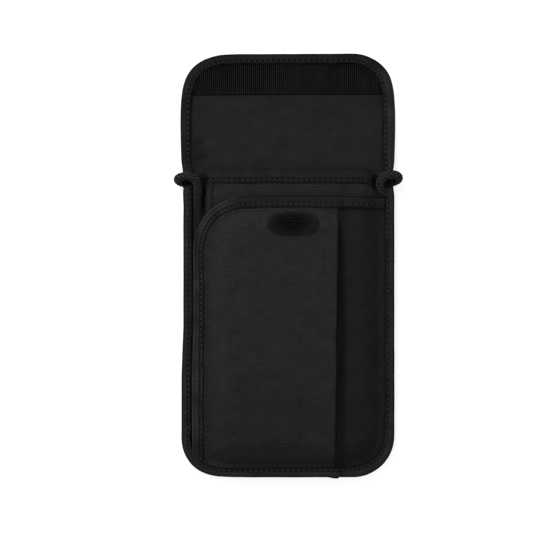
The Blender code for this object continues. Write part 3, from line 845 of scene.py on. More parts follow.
def edge_line():
    """The pouch's edge, from the tape's join, left and up, over the flap, and down and back to the join."""
    made = level(TAPE_JOIN_X, BOTTOM_LEFT_RADIUS - HALF_WIDTH, -HALF_LENGTH, 1)
    made += pouch_corner(-1, -1, -1)
    made += upright(BOTTOM_LEFT_RADIUS - HALF_LENGTH, HALF_LENGTH - FLAP_LEFT_RADIUS, -HALF_WIDTH, 1)[1:]
    made += pouch_corner(-1, 1, 1)
    made += level(FLAP_LEFT_RADIUS - HALF_WIDTH, HALF_WIDTH - FLAP_RIGHT_RADIUS, HALF_LENGTH, -1)[1:]
    made += pouch_corner(1, 1, -1)
    made += upright(HALF_LENGTH - FLAP_RIGHT_RADIUS, BOTTOM_RIGHT_RADIUS - HALF_LENGTH, HALF_WIDTH, -1)[1:]
    made += pouch_corner(1, -1, 1)
    return made + level(HALF_WIDTH - BOTTOM_RIGHT_RADIUS, TAPE_JOIN_X + 0.4, -HALF_LENGTH, 1)[1:]


def edge_stack(x, y):
    """The layers inside the edge tape, with the flattened end of the cord under it at the right."""
    if x < TAPE_JOIN_X and not (y > 0 and x > 0):
        return left_stack(y)
    return right_stack(y) + CORD_END_BULGE * bell(y, 46.0, 4.0)


def edge_tape():
    stations = []
    for point, inward in edge_line():
        low = lift(point.y)
        stations.append((point, inward, low, low + edge_stack(point.x, point.y) + GAP + TAPE))
    return Tape(stations, EDGE_TAPE_WIDTH, EDGE_STITCH_IN, 11, shade=edge_shade, extra=edge_spread)


def join_tape():
    """The turned end of the edge tape, lapped over the place where the tape began."""
    start = TAPE_JOIN_X - JOIN_LENGTH / 2
    under = lift(-HALF_LENGTH)
    over = under + left_stack(-HALF_LENGTH) + GAP + TAPE
    stations = []
    for x in steps(start, start + JOIN_LENGTH, 0.5):
        ramp = 0.5 * smooth((x - start) / 4.0)
        place = Vector((x, -HALF_LENGTH - 0.25 - ramp))
        stations.append((place, Vector((0.3, 0.954)), under - TAPE, over + 0.15 + ramp))
    return Tape(stations, EDGE_TAPE_WIDTH + 0.9, EDGE_STITCH_IN + 0.5, 12)


def mouth_tape():
    stations = []
    for point, inward in level(PASSPORT_LEFT_TOP, MOUTH_TAPE_RIGHT, PASSPORT_MOUTH_Y, -1):
        base = passport_height(point.x, PASSPORT_MOUTH_Y - 3)
        stations.append((point, inward, base - TAPE - GAP, base + POCKET_CLOTH + GAP + TAPE))
    # The mouth tape is darker all over, and gets half the painted shade along its inner edge.
    looks = {"shade": lambda x, y: 0.3, "inner": lambda x, y: 0.5}
    return Tape(stations, MOUTH_TAPE_WIDTH, MOUTH_STITCH_IN, 13, fold=0.9, **looks)


def front_tape():
    line = upright(FRONT_TAPE_BOTTOM, FRONT_TOP - FRONT_RADIUS, FRONT_LEFT, 1)
    centre = Vector((FRONT_LEFT + FRONT_RADIUS, FRONT_TOP - FRONT_RADIUS))
    line += turned(centre, FRONT_RADIUS, -1, 1, steps(0, 90, 1.15)[1:])
    line += level(centre.x, FRONT_TAPE_RIGHT, FRONT_TOP, -1)[1:]
    stack = POCKET_CLOTH + GAP + POCKET_CLOTH
    stations = []
    for point, inward in line:
        base = max(front_height(*(point + inward * 4.0)), front_height(*(point + inward * 7.0)) - 0.3)
        stations.append((point, inward, base - TAPE - GAP, base + stack + GAP + TAPE))
    looks = {"fold_dark": FRONT_FOLD_DARK, "outline": front_outline, "inner": front_inner}
    looks["shade"] = front_shade
    # The front tape's fold is paler on the left only: mostly a painted highlight where light from the left
    # catches it.
    looks["rubbed"] = lambda x: mix(1.0, 0.0, smooth((x + 46) / 22))
    return Tape(stations, FRONT_TAPE_WIDTH, FRONT_STITCH_IN, 14, tilt=front_bow, fold=0.8, **looks)


# ---------------------------------------------------------------- materials


def node(tree, kind, inputs=(), **settings):
    made = tree.nodes.new(kind)
    for name, value in settings.items():
        setattr(made, name, value)
    for socket, value in inputs:
        if isinstance(value, bpy.types.NodeSocket):
            tree.links.new(value, made.inputs[socket])
        else:
            made.inputs[socket].default_value = value
    return made


def blotches(tree, place, scale, detail=2.0, rough=0.5):
    inputs = [("Vector", place), ("Scale", scale), ("Detail", detail), ("Roughness", rough)]
    return node(tree, "ShaderNodeTexNoise", inputs).outputs[0]


def flecks(tree, flat, across, along, detail=2.0, rough=0.5):
    """Noise on the flat cloth, with this many flecks to a millimetre each way."""
    place = node(tree, "ShaderNodeMapping", [(0, flat), ("Scale", (across, along, 1))]).outputs[0]
    return blotches(tree, place, 1.0, detail, rough)


def ranged(tree, value, low=0.3, high=0.7, new_low=0.0, new_high=1.0):
    """A value's range from low to high, stretched to another one, which is 0 to 1 unless it is given."""
    inputs = [(0, value), (1, low), (2, high), (3, new_low), (4, new_high)]
    return node(tree, "ShaderNodeMapRange", inputs).outputs[0]


def calculate(tree, operation, first, second):
    return node(tree, "ShaderNodeMath", [(0, first), (1, second)], operation=operation).outputs[0]


def total(tree, start, *terms):
    """The start plus each value times its weight."""
    for value, weight in terms:
        start = calculate(tree, "ADD", calculate(tree, "MULTIPLY", value, weight), start)
    return start


def bands(tree, flat, direction, pitch):
    """Ribs with this pitch, from 0 to 1."""
    looks = {"wave_type": "BANDS", "bands_direction": direction, "wave_profile": "SIN"}
    made = node(tree, "ShaderNodeTexWave", [("Vector", flat), ("Scale", math.pi / 10 / pitch)], **looks)
    return made.outputs[1]


def toned(tree, low, high, share):
    return node(tree, "ShaderNodeMix", [(0, share), (6, low), (7, high)], data_type="RGBA").outputs[2]


def mark(tree, name):
    """A number kept at each point of the mesh."""
    return node(tree, "ShaderNodeAttribute", attribute_name=name, attribute_type="GEOMETRY").outputs["Fac"]


def grey(value):
    return (value, value, value, 1.0)


def start_material(name, roughness, specular, sheen):
    made = bpy.data.materials.new(name)
    made.use_nodes = True
    tree = made.node_tree
    shader = tree.nodes["Principled BSDF"]
    shader.inputs["Roughness"].default_value = roughness
    shader.inputs["Specular IOR Level"].default_value = specular
    shader.inputs["Sheen Weight"].default_value = sheen
    shader.inputs["Sheen Roughness"].default_value = 0.5
    shader.inputs["Sheen Tint"].default_value = (0.6, 0.6, 0.62, 1)
    flat = node(tree, "ShaderNodeUVMap", uv_map="cloth").outputs[0]
    return made, tree, flat


def finish_material(tree, colour, *bumps, roughness=None):
    """Links a colour and bumps, each a height, a distance in millimetres and a strength, to the shader."""
    shader = tree.nodes["Principled BSDF"]
    tree.links.new(colour, shader.inputs["Base Color"])
    if roughness:
        tree.links.new(roughness, shader.inputs["Roughness"])
    normal = None
    for height, distance, strength in bumps:
        inputs = [("Height", height), ("Distance", distance * MM), ("Strength", strength)]
        if normal:
            inputs.append(("Normal", normal))
        normal = node(tree, "ShaderNodeBump", inputs).outputs[0]
    tree.links.new(normal, shader.inputs["Normal"])


def cloth_material(name, dark, light, slub):
    """Woven nylon: a fine plain weave, thicker threads that show as short streaks, and a soft mottle."""
    made, tree, flat = start_material(name, 0.8, 0.03, 0.012)
    weave = calculate(tree, "MULTIPLY", bands(tree, flat, "X", 0.62), bands(tree, flat, "Y", 0.58))
    streaks = ranged(tree, flecks(tree, flat, 0.2, 1.4, 2.0, 0.6))
    threads = ranged(tree, flecks(tree, flat, 0.7, 1.3, 2.0, 0.6))
    shown = ranged(tree, flecks(tree, flat, 0.33, 0.25))
    picks = calculate(tree, "MULTIPLY", bands(tree, flat, "Y", 1.9), shown)
    mottle = ranged(tree, flecks(tree, flat, 0.085, 0.11, 4.0, 0.6))
    parts = ((streaks, slub), (mottle, 0.74 - slub), (threads, 0.34), (picks, 0.3), (weave, 0.2))
    colour = toned(tree, dark, light, total(tree, -0.14, *parts))
    # Painted shade: the colour goes to near black where the mesh marks it.
    colour = toned(tree, colour, grey(0.0008), mark(tree, "hole_and_painted_shade"))
    bumps = ((weave, 0.12, 0.55), (streaks, 0.3, 0.45), (threads, 0.22, 0.4))
    finish_material(tree, colour, *bumps, roughness=ranged(tree, mottle, 0.0, 1.0, 0.7, 0.92))
    return made


def tape_material(name, dark, light, wear_and_highlight_colour):
    """Binding tape: fine ribs across it, fuzzier and paler where its fold rubs, which is partly wear and
    partly a painted highlight.
    """
    made, tree, flat = start_material(name, 0.72, 0.02, 0.008)
    ribs = bands(tree, flat, "X", 0.95)
    fine = bands(tree, flat, "Y", 0.5)
    mottle = flecks(tree, flat, 0.16, 0.3, 3.0, 0.6)
    speckle = flecks(tree, flat, 1.6, 1.6, 2.0, 0.6)
    colour = toned(tree, dark, light, total(tree, -0.4, (ribs, 0.3), (mottle, 0.8), (speckle, 0.5)))
    # Pale wear and painted highlight where the mesh marks them.
    colour = toned(tree, colour, wear_and_highlight_colour, calculate(tree, "MULTIPLY", mark(tree, "wear_and_painted_light"), speckle))
    # Painted shade: the colour goes to near black where the mesh marks it.
    colour = toned(tree, colour, grey(0.001), mark(tree, "hole_and_painted_shade"))
    bumps = ((ribs, 0.16, 0.6), (fine, 0.06, 0.4), (speckle, 0.2, 0.35))
    finish_material(tree, colour, *bumps, roughness=ranged(tree, mottle, 0.2, 0.8, 0.62, 0.84))
    return made


def thread_material(name, dark, light):
    made, tree, flat = start_material(name, 0.6, 0.1, 0.02)
    turns = bands(tree, flat, "DIAGONAL", 0.35)
    finish_material(tree, toned(tree, dark, light, flecks(tree, flat, 0.7, 0.7)), (turns, 0.1, 0.5))
    return made


def pile_material(name, dark, light, grain, rib=0.0):
    """A fastener's pile: short fibres that catch the light here and there."""
    made, tree, flat = start_material(name, 0.9, 0.01, 0.006)
    tufts = ranged(tree, flecks(tree, flat, grain, grain, 3.0, 0.65))
    mottle = ranged(tree, flecks(tree, flat, 0.12, 0.12))
    share = total(tree, 0.0, (tufts, 0.7), (mottle, 0.3))
    if rib:
        # Painted shade in the troughs between the ribs: the colour is darker there.
        ribs = calculate(tree, "POWER", bands(tree, flat, "X", rib), 1.6)
        share = calculate(tree, "MULTIPLY", calculate(tree, "ADD", share, 0.45), ribs)
    # Painted shade: the colour goes to near black where the mesh marks it.
    colour = toned(tree, toned(tree, dark, light, share), grey(0.0004), mark(tree, "hole_and_painted_shade"))
    finish_material(tree, colour, (tufts, 0.35, 0.8))
    return made


def braid_material(name, gap_shade_colour, dark, light):
    """Braided cord: painted shade between its strands, with fine fibres along each strand."""
    made, tree, flat = start_material(name, 0.7, 0.03, 0.01)
    fibres = ranged(tree, flecks(tree, flat, 0.9, 2.2, 2.0, 0.6))
    lint = ranged(tree, flecks(tree, flat, 0.7, 0.7, 1.0), 0.25)
    strand = toned(tree, dark, light, calculate(tree, "MULTIPLY", lint, total(tree, 0.5, (fibres, 0.5))))
    # Painted shade between the strands, where the mark is low.
    finish_material(tree, toned(tree, gap_shade_colour, strand, mark(tree, "wear_and_painted_light")), (fibres, 0.2, 0.5))
    return made


BLACK_CLOTH = cloth_material("black_cloth", grey(0.0074), grey(0.0172), 0.24)
CARD_CLOTH = cloth_material("card_cloth", grey(0.0085), grey(0.0238), 0.40)
# A darker copy of the cloth: partly the front pocket's own tone, partly painted shade beside the raised card
# pocket and in the gusset's fold.
SHADED_DARK_CLOTH = cloth_material("dark_cloth", grey(0.0080), grey(0.0142), 0.18)
BINDING = tape_material("black_binding", grey(0.0050), grey(0.0230), grey(0.040))
# The front tape's paler fold colour is mostly a painted highlight.
FRONT_BINDING = tape_material("front_binding", grey(0.0050), grey(0.0215), grey(0.070))
THREAD = thread_material("black_thread", grey(0.008), grey(0.044))
DARK_THREAD = thread_material("dark_thread", grey(0.004), grey(0.014))
LOOPS = pile_material("loop_pile", grey(0.0002), grey(0.0146), 1.3, rib=LOOP_RIB)
HOOKS = pile_material("hook_pile", grey(0.0040), grey(0.0200), 1.1)
HOOK_TIPS = pile_material("hook_tips", grey(0.0010), grey(0.0400), 0.8)
BRAID = braid_material("cord_braid", grey(0.0006), grey(0.004), grey(0.086))


def dress(piece, material, body, nodes=()):
    """Gives a piece its material and hides the CAD nodes it stands for; it rides on the named body, or for
    "fold" keeps its place in the world.
    """
    piece.data.materials.clear()
    piece.data.materials.append(material)
    if body == "fold":
        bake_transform(piece)
    else:
        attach(piece, body)
    if nodes:
        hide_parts(*nodes)
    return piece


# ---------------------------------------------------------------- the camera

VIEW_WIDTH = 0.3385
CAMERA_X = -0.0136
CAMERA_Y = -0.0008
CAMERA_HEIGHT = 1.5
SUBJECT_Z = 0.008
lens = bpy.data.cameras.new("camera")
lens.sensor_width = 36.0
lens.lens = 36.0 * (CAMERA_HEIGHT - SUBJECT_Z) / VIEW_WIDTH
lens.clip_start = 0.05
camera = bpy.data.objects.new("camera", lens)
camera.location = (CAMERA_X, CAMERA_Y, CAMERA_HEIGHT)
bpy.context.scene.collection.objects.link(camera)
bpy.context.scene.camera = camera

# ---------------------------------------------------------------- the neck cord

RIGHT_ROUTE = (
    (58.3, 50.0, 12.0),
    (58.5, 52.6, 12.3),
    (60.3, 55.4, 13.0),
    (62.9, 57.1, 13.4),
    (66.0, 57.5, 13.4),
    (69.0, 56.9, 12.1),
    (70.4, 55.7, 8.6),
    (69.8, 54.3, 5.0),
    (67.2, 53.0, 2.8),
    (62.5, 51.4, 2.65),
    (55.0, 49.3, 2.65),
    (46.5, 46.6, 2.65),
    (38.5, 42.9, 2.65),
    (32.6, 37.6, 2.65),
    (30.2, 31.7, 2.65),
)
LEFT_ROUTE = (
    (-57.3, 49.3, 10.7),
    (-57.6, 51.6, 11.0),
    (-59.3, 54.4, 11.9),
    (-61.9, 56.1, 12.5),
    (-65.0, 56.5, 12.6),
    (-68.2, 55.9, 11.5),
    (-69.9, 54.7, 8.2),
    (-69.4, 53.5, 4.8),
    (-66.8, 52.4, 2.8),
    (-62.0, 51.0, 2.65),
    (-54.8, 49.0, 2.65),
    (-46.5, 46.4, 2.65),
    (-38.5, 42.8, 2.65),
    (-32.6, 37.6, 2.65),
    (-30.2, 31.7, 2.65),
)
HANK_TOP_X = (-30, -24, -3, 3, 24, 30)
HANK_MIDDLE_X = (-14, -8.4, -2.8, 2.8, 8.4, 14)
HANK_BOTTOM_X = (-37.5, -16.5, -10.5, 10.5, 16.5, 37.5)
HANK_TOP_Y = 18.0
HANK_MIDDLE_Y = -32.0
HANK_BOTTOM_Y = -82.0
LOOP_RADIUS = 10.5
TIE_WIDTH = 6.0
TIE_HALF = 17.0
CORD_Z = CORD / 2
TACK_TURNS = 11
TACK_PITCH = 0.3
TACK_REACH = 3.3
TACK_THREAD = 0.34


def hank_strand(index):
    """One run of the hank from its top loops to its bottom loops, drawn together at the tie."""
    made = []
    for y in steps(HANK_TOP_Y, HANK_BOTTOM_Y, 6.25):
        away = smooth(abs(y - HANK_MIDDLE_Y) / 50)
        ends = HANK_TOP_X if y > HANK_MIDDLE_Y else HANK_BOTTOM_X
        at_tie = 0.45 * bell(y, HANK_MIDDLE_Y, 7)
        made.append((mix(HANK_MIDDLE_X[index], ends[index], away), y, CORD_Z + at_tie))
    return made


def hank_loop(start, end, y, way):
    """Half a turn from one run to the next, below (-1) or above (1) them."""
    centre = (start + end) / 2
    reach = (start - end) / 2
    made = []
    for i in range(1, 8):
        turn = math.pi * i / 8
        made.append((centre + reach * math.cos(turn), y + way * LOOP_RADIUS * math.sin(turn), CORD_Z))
    return made


def cord_route():
    made = [(-57.0, 42.6, 8.7), (-57.1, 45.9, 9.5), *LEFT_ROUTE, (-30.0, 25.0, CORD_Z)]
    for index in range(6):
        strand = hank_strand(index)
        if index % 2 == 0:
            made += strand
            if index < 5:
                made += hank_loop(HANK_BOTTOM_X[index], HANK_BOTTOM_X[index + 1], HANK_BOTTOM_Y, -1)
        else:
            made += strand[::-1]
            if index < 5:
                made += hank_loop(HANK_TOP_X[index], HANK_TOP_X[index + 1], HANK_TOP_Y, 1)
    made += [(30.0, 25.0, CORD_Z), *RIGHT_ROUTE[::-1]]
    return [*made, (59.0, 47.8, 11.0), (60.6, 46.3, 9.9), (62.9, 45.5, 9.0)]


def through(route, spacing):
    """Points this far apart on a smooth curve through the route's points."""
    points = [Vector(point) for point in route]
    ends = [points[0] * 2 - points[1], *points, points[-1] * 2 - points[-2]]
    made = [points[0]]
    for before, first, second, after in zip(ends, ends[1:], ends[2:], ends[3:]):
        count = max(1, round((second - first).length / spacing))
        for i in range(1, count + 1):
            t = i / count
            onward = 2 * first + (second - before) * t
            bend = (2 * before - 5 * first + 4 * second - after) * t * t
            made.append((onward + bend + (3 * first - before - 3 * second + after) * t**3) / 2)
    return made


BRAID_STRANDS = 6
BRAID_TURN = 12.0  # length of one turn of a strand
BRAID_CORE = CORD / 2 - 0.75  # radius between the strands
BRAID_DEPTH = 0.9
CORD_END = 7.0  # length of each flattened end
CORD_SIDES = 48


def braid_height(s, turn):
    """The height of the braid, 0 to 1: strands wind both ways and pass over and under each other."""
    a = BRAID_STRANDS * (turn + s / BRAID_TURN)
    b = BRAID_STRANDS * (turn - s / BRAID_TURN)
    over_a = math.cos(math.pi * (b - 0.5) + math.pi * math.floor(a))
    over_b = math.cos(math.pi * (a - 0.5) + math.pi * math.floor(b) + math.pi)
    high_a = 0.62 * (1 - (2 * (a % 1) - 1) ** 2) + 0.38 * over_a
    high_b = 0.62 * (1 - (2 * (b % 1) - 1) ** 2) + 0.38 * over_b
    return max(high_a, high_b, 0.0)


def neck_cord():
    line = through(cord_route(), 0.5)
    run = [0.0]
    for a, b in zip(line, line[1:]):
        run.append(run[-1] + (b - a).length)
    length = run[-1]

    def out_to(i, j, out):
        s = run[i]
        radius = BRAID_CORE + BRAID_DEPTH * braid_height(s, j / CORD_SIDES) + 0.05 * ripple(s, j, 5, 21)
        past_end = smooth(min(s, length - s) / CORD_END)
        wide = radius * mix(1.08, 1, past_end)
        return Vector((out.x * wide, out.y * wide, out.z * radius * mix(0.42, 1, past_end)))

    points, faces = tube(line, CORD_SIDES, out_to)
    uvs, wear_and_painted_light = [], []
    for i in range(len(line)):
        for j in range(CORD_SIDES):
            uvs.append((run[i], j / CORD_SIDES * math.pi * CORD))
            # The mark is 0 deep between the strands, where the colour is painted shade, and 1 on their
            # crowns.
            wear_and_painted_light.append(min(1.0, max(0.0, (braid_height(run[i], j / CORD_SIDES) - 0.52) / 0.42) ** 1.3))
    made = mesh_object("neck_cord", [tuple(p) for p in points], faces, uvs, {"wear_and_painted_light": wear_and_painted_light})
    dress(made, BRAID, "pouch", ["cord_left", "cord_right", "cord_hank"])
    return made, [*line[:-1:4], line[-1]], length


def cord_tie():
    """The band round the hank's middle: a rounded strip with a slight twist in its edges."""
    half = TIE_HALF + GAP + TAPE
    round_end = (CORD + 2 * (GAP + TAPE) - 0.6) / 2
    around, wide = 96, 8
    points, uvs = [], []
    for j in range(wide + 1):
        y = HANK_MIDDLE_Y + mix(-TIE_WIDTH / 2, TIE_WIDTH / 2, j / wide)
        for i in range(around):
            turn = 2 * math.pi * i / around
            x = round_end * math.cos(turn) + math.copysign(half - round_end, math.cos(turn))
            z = round_end + round_end * math.sin(turn)
            sag = 0.12 * ripple(x, y, 6, 31) if z > 1 else 0.0
            points.append((x, y + 0.15 * ripple(x, 2, 9, 32), max(z + sag, 0.05)))
            uvs.append((turn * 12, y))
    made = mesh_object("cord_tie", points, quads(wide + 1, around, closed=True), uvs)
    return dress(thicken(made, TAPE, even=False, side=-1), BINDING, "pouch", ["hank_tie"])


def cord_end(side, centre, top):
    """The bar tack that holds a cord end down: close zigzag thread over the flattened cord."""
    threads = Threads()
    for i in range(TACK_TURNS):
        y = centre[1] + TACK_PITCH * (i - (TACK_TURNS - 1) / 2)
        slant = 0.12 if i % 2 else -0.12
        line = []
        for share in (-1, -0.8, -0.4, 0, 0.4, 0.8, 1):
            rise = top - 2.3 * abs(share) ** 3
            line.append((centre[0] + share * TACK_REACH, y + slant * share, rise))
        threads.add(line, TACK_THREAD)
    made = threads.done("cord_tack_" + side)
    return dress(made, DARK_THREAD, "pouch", ["cord_anchor_" + side])


cord_piece, cord_line, cord_length = neck_cord()
tie_piece = cord_tie()
left_tack = cord_end("left", (-57.1, 46.4), 11.8)
right_tack = cord_end("right", (60.0, 47.6), 11.9)

# ---------------------------------------------------------------- cloth panels


def back_rows():
    bottom = arc_rows(BOTTOM_LEFT_RADIUS, -1)
    top = arc_rows(FLAP_LEFT_RADIUS, 1)[::-1]
    return bottom + steps(bottom[-1], top[0], CELL)[1:-1] + top


def back_sheet():
    left = lambda y: pouch_side(y, -1)
    right = lambda y: pouch_side(y, 1)
    height = lambda x, y: back_height(x, y) - BACK_CLOTH
    made = panel("back_and_flap_cloth", back_rows(), left, right, height, BACK_CLOTH)
    return dress(made, BLACK_CLOTH, "fold", ["back_panel", "flap_panel"])


def passport_left(y):
    share = (y + HALF_LENGTH) / (PASSPORT_MOUTH_Y + HALF_LENGTH)
    return max(mix(PASSPORT_LEFT_BOTTOM, PASSPORT_LEFT_TOP, share), pouch_side(y, -1))


def passport_height(x, y):
    return passport_under(x, y) + passport_relief(x, y)


def passport_wall():
    rows = body_rows(PASSPORT_MOUTH_Y - PANEL_INSET)
    right = lambda y: pouch_side(y, 1)
    made = panel("passport_wall", rows, passport_left, right, passport_height, POCKET_CLOTH)
    return dress(made, CARD_CLOTH, "pouch", ["passport_panel"])


def passport_hem():
    """The turned hem down the passport pocket's open side."""

    def point(column, y):
        x = passport_left(y) - 0.25 + column
        z = passport_height(max(x, passport_left(y)), y) + POCKET_CLOTH + 0.05
        if column < 0.2:
            z -= 0.45
        z += 0.12 * smooth(1 - abs(column - 1.6) / 1.4) + 0.06 * ripple(y, column, 3, 41)
        return (drawn(x, y), raised(x, y), z), (x, y)

    rows = steps(-104, PASSPORT_MOUTH_Y - 7.0, CELL)
    made = grid("passport_hem", [0.0, 0.25, 0.8, 1.6, 2.5, 3.2, 3.9], rows, point)
    return dress(thicken(made, 0.35), BLACK_CLOTH, "pouch")


def rounded_left(y, left, top, radius):
    past = y - (top - radius)
    if past <= 0:
        return left
    return left + radius - math.sqrt(max(radius**2 - past**2, 0))


def front_left(y):
    top = FRONT_TOP - PANEL_INSET
    side = rounded_left(y, FRONT_LEFT + PANEL_INSET, top, FRONT_RADIUS - PANEL_INSET)
    return max(side, pouch_side(y, -1))


def front_height(x, y):
    return front_under(x, y) + front_relief(x, y)


def front_rows(top):
    """Rows up to a panel's top edge, closest together where its corner turns."""
    corner = top - CORNER_RUN
    turns = [math.radians(90 * i / 24) for i in range(1, 25)]
    return body_rows(corner) + [corner + CORNER_RUN * math.sin(turn) for turn in turns]


def front_wall():
    rows = front_rows(FRONT_TOP - PANEL_INSET)
    right = lambda y: pouch_side(y, 1)
    made = panel("front_wall", rows, front_left, right, front_height, POCKET_CLOTH, shift=front_bow)
    # The front wall's darker cloth is partly painted shade from the raised card pocket.
    return dress(made, SHADED_DARK_CLOTH, "pouch", ["front_panel"])


def card_height(x, y):
    return card_under(x, y) + card_relief(x, y)


def card_right(y):
    share = (y + HALF_LENGTH) / (FRONT_TOP - CARD_UNDER_TAPE + HALF_LENGTH)
    return mix(CARD_RIGHT_BOTTOM, CARD_RIGHT_TOP, share) + 0.25 * ripple(y, 0, 26, 51)


def card_wall():
    top = FRONT_TOP - CARD_UNDER_TAPE
    edge = FRONT_LEFT + CARD_UNDER_TAPE
    left = lambda y: max(rounded_left(y, edge, top, FRONT_RADIUS - CARD_UNDER_TAPE), pouch_side(y, -1))

    def hem_depth(x, y):
        space = card_height(x, y) - front_height(x, y) - POCKET_CLOTH - 0.15
        return min(1.25, max(space, 0.05))

    looks = {"shift": front_bow, "hem": (7.0, hem_depth)}
    made = panel("card_wall", front_rows(top), left, card_right, card_height, POCKET_CLOTH, **looks)
    return dress(made, CARD_CLOTH, "pouch", ["card_panel"])


# The gusset's cloth from the edge to under the passport pocket: how far across, and how high over the back.
GUSSET_FOLD = (
    (-66.2, 0.3),
    (-63.5, 0.3),
    (-61.0, 0.4),
    (-59.8, 0.9),
    (-58.9, 1.9),
    (-58.0, 2.7),
    (-57.0, 2.9),
    (-56.0, 2.75),
    (-55.2, 2.1),
    (-54.5, 1.45),
    (-53.4, 1.3),
    (-51.5, 1.35),
    (-48.5, 1.5),
)


def gusset():
    def point(column, y):
        across, up = GUSSET_FOLD[column]
        loose = smooth((column - 2) / 3)
        across += loose * (0.35 * ripple(y, across * 0.2, 14, 61))
        up += loose * 0.3 * ripple(y, across, 9, 62)
        at_cord = smooth((y - 34) / 9)
        if 3 <= column <= 7:
            up += 0.9 * at_cord
        if 8 <= column <= 11:
            up = mix(up, 0.35, smooth((y - 24) / 14))
        return (drawn(across, y), y, back_top(across, y) + settle(across, y) + up), (across, y)

    rows = steps(GUSSET_BOTTOM, GUSSET_TOP, CELL)
    made = grid("gusset_fold", list(range(len(GUSSET_FOLD))), rows, point)
    # The gusset's darker cloth is partly painted shade in its fold.
    return dress(thicken(made, GUSSET_CLOTH), SHADED_DARK_CLOTH, "pouch", ["side_gusset"])


back = back_sheet()
passport = passport_wall()
front = front_wall()
card = card_wall()
gusset()
passport_hem()

# ---------------------------------------------------------------- fasteners


def loop_strip():
    """The soft half of the fastener: ribs of pile across the flap."""
    inset = EDGE_TAPE_WIDTH - 0.6

    def point(share, y):
        x = mix(pouch_side(y, -1, inset), pouch_side(y, 1, inset), share)
        ribs = 0.5 - 0.5 * math.cos(2 * math.pi * x / LOOP_RIB)
        edge = smooth((y - LOOP_STRIP_LOW) / 2.6)
        z = back_height(x, y)
        z += edge * (0.4 + 0.46 * ribs + 0.16 * ripple(x, y, 0.75, 72) + 0.08 * ripple(x, y, 3, 73))
        return (drawn(x, y), raised(x, y), z), (x, y)

    rows = steps(LOOP_STRIP_LOW, LOOP_STRIP_HIGH, 0.5)
    made = grid("loop_strip_pile", steps(0, 1, 1 / 390), rows, point)
    return dress(thicken(made, 0.1, even=False), LOOPS, "flap", ["loop_strip"])


def hook_half(y):
    """Half the hook patch's length at this height: its outline lies between an ellipse and a rectangle."""
    share = min(abs(y - HOOK_CENTRE[1]) / (HOOK_WIDTH / 2 + 0.1), 1.0)
    return HOOK_LENGTH / 2 * (1 - share**HOOK_SQUARENESS) ** (1 / HOOK_SQUARENESS)


def hook_surface(x, y):
    return card_height(x, y) + POCKET_CLOTH


def hook_patch():
    top = HOOK_WIDTH / 2

    def point(column, row):
        y = HOOK_CENTRE[1] + top * math.sin(math.radians(row))
        frayed = smooth(abs(column) * 3 - 2)
        x = HOOK_CENTRE[0] + column * (hook_half(y) + 0.3 * frayed * ripple(y, column * 9, 1.6, 82))
        edge = smooth((1 - abs(column)) * hook_half(y) / 1.1) * smooth((top - abs(y - HOOK_CENTRE[1])) / 1.0)
        z = hook_surface(x, y) + 0.12 + 0.4 * edge + 0.12 * ripple(x, y, 1.1, 81)
        return (x, y + front_bow(x, y), z), (x, y)

    columns = [i / 52 for i in range(-52, 53)]
    made = grid("hook_patch_base", columns, steps(-90, 90, 4), point)
    return dress(thicken(made, 0.2, even=False), HOOKS, "pouch", ["hook_patch"])


def hook_field():
    """Rows of small bent hooks."""
    threads = Threads()
    row = 0
    y = HOOK_CENTRE[1] - HOOK_WIDTH / 2 + 1.0
    while y < HOOK_CENTRE[1] + HOOK_WIDTH / 2 - 0.8:
        half = hook_half(y) - 0.5
        x = HOOK_CENTRE[0] - half + (0.55 if row % 2 else 0) + 1.6 + 0.8 * ripple(y, 0, 3, 87)
        last = HOOK_CENTRE[0] + half - 3.0 - 1.2 * ripple(y, 9, 3, 88)
        while x < last:
            px = x + 0.5 * ripple(x, y, 0.9, 83)
            py = y + 0.5 * ripple(x, y, 0.9, 84) + front_bow(x, y)
            base = hook_surface(px, y) + 0.55
            lean = 0.4 * (1 if row % 2 else -1) + 0.2 * ripple(x, y, 1.1, 85)
            side = 0.25 * ripple(x, y, 1.3, 86)
            line = [
                (px, py, base - 0.1),
                (px + 0.1 * side, py, base + 0.28),
                (px + 0.5 * side, py + 0.35 * lean, base + 0.5),
                (px + side, py + 0.9 * lean, base + 0.5),
                (px + 1.2 * side, py + 1.25 * lean, base + 0.3),
            ]
            threads.add(line, HOOK_THREAD, 5)
            x += HOOK_PITCH
        y += HOOK_ROW
        row += 1
    made = threads.done("hook_patch_hooks")
    return dress(made, HOOK_TIPS, "pouch")


loop_strip()
hook_patch()
hook_field()

# ---------------------------------------------------------------- tapes and seams

edge = edge_tape()
front_edge = front_tape()
mouth_edge = mouth_tape()
EDGE_NODES = ("body_binding_left", "body_binding_right", "flap_binding")
for tape, name, material, body, nodes in (
    (edge, "edge_tape", BINDING, "fold", EDGE_NODES),
    (front_edge, "front_pocket_tape", FRONT_BINDING, "pouch", ("front_binding",)),
    (mouth_edge, "passport_mouth_tape", BINDING, "pouch", ("passport_mouth_binding",)),
    (join_tape(), "edge_tape_join", BINDING, "pouch", ("binding_overlap",)),
):
    dress(faces_out(tape.build(name)), material, body, nodes)


def stitches(name, material, body, length, *seams, **looks):
    """One piece of stitches, along seams that are each a way along the cloth and a seed."""
    threads = Threads()
    for at, seed in seams:
        sew(threads, at, length, seed, **looks)
    dress(threads.done(name), material, body)


edge_seams = ((edge.seam_at, 91), (lambda s: edge.seam_at(s, under=True), 92))
stitches("edge_stitches", THREAD, "fold", edge.length, *edge_seams)
stitches("front_tape_stitches", THREAD, "pouch", front_edge.length, (front_edge.seam_at, 93))
stitches("mouth_tape_stitches", THREAD, "pouch", mouth_edge.length, (mouth_edge.seam_at, 94))


HEM_SEAM = 155.0  # the two seams' lengths
LOOP_SEAM = 117.0


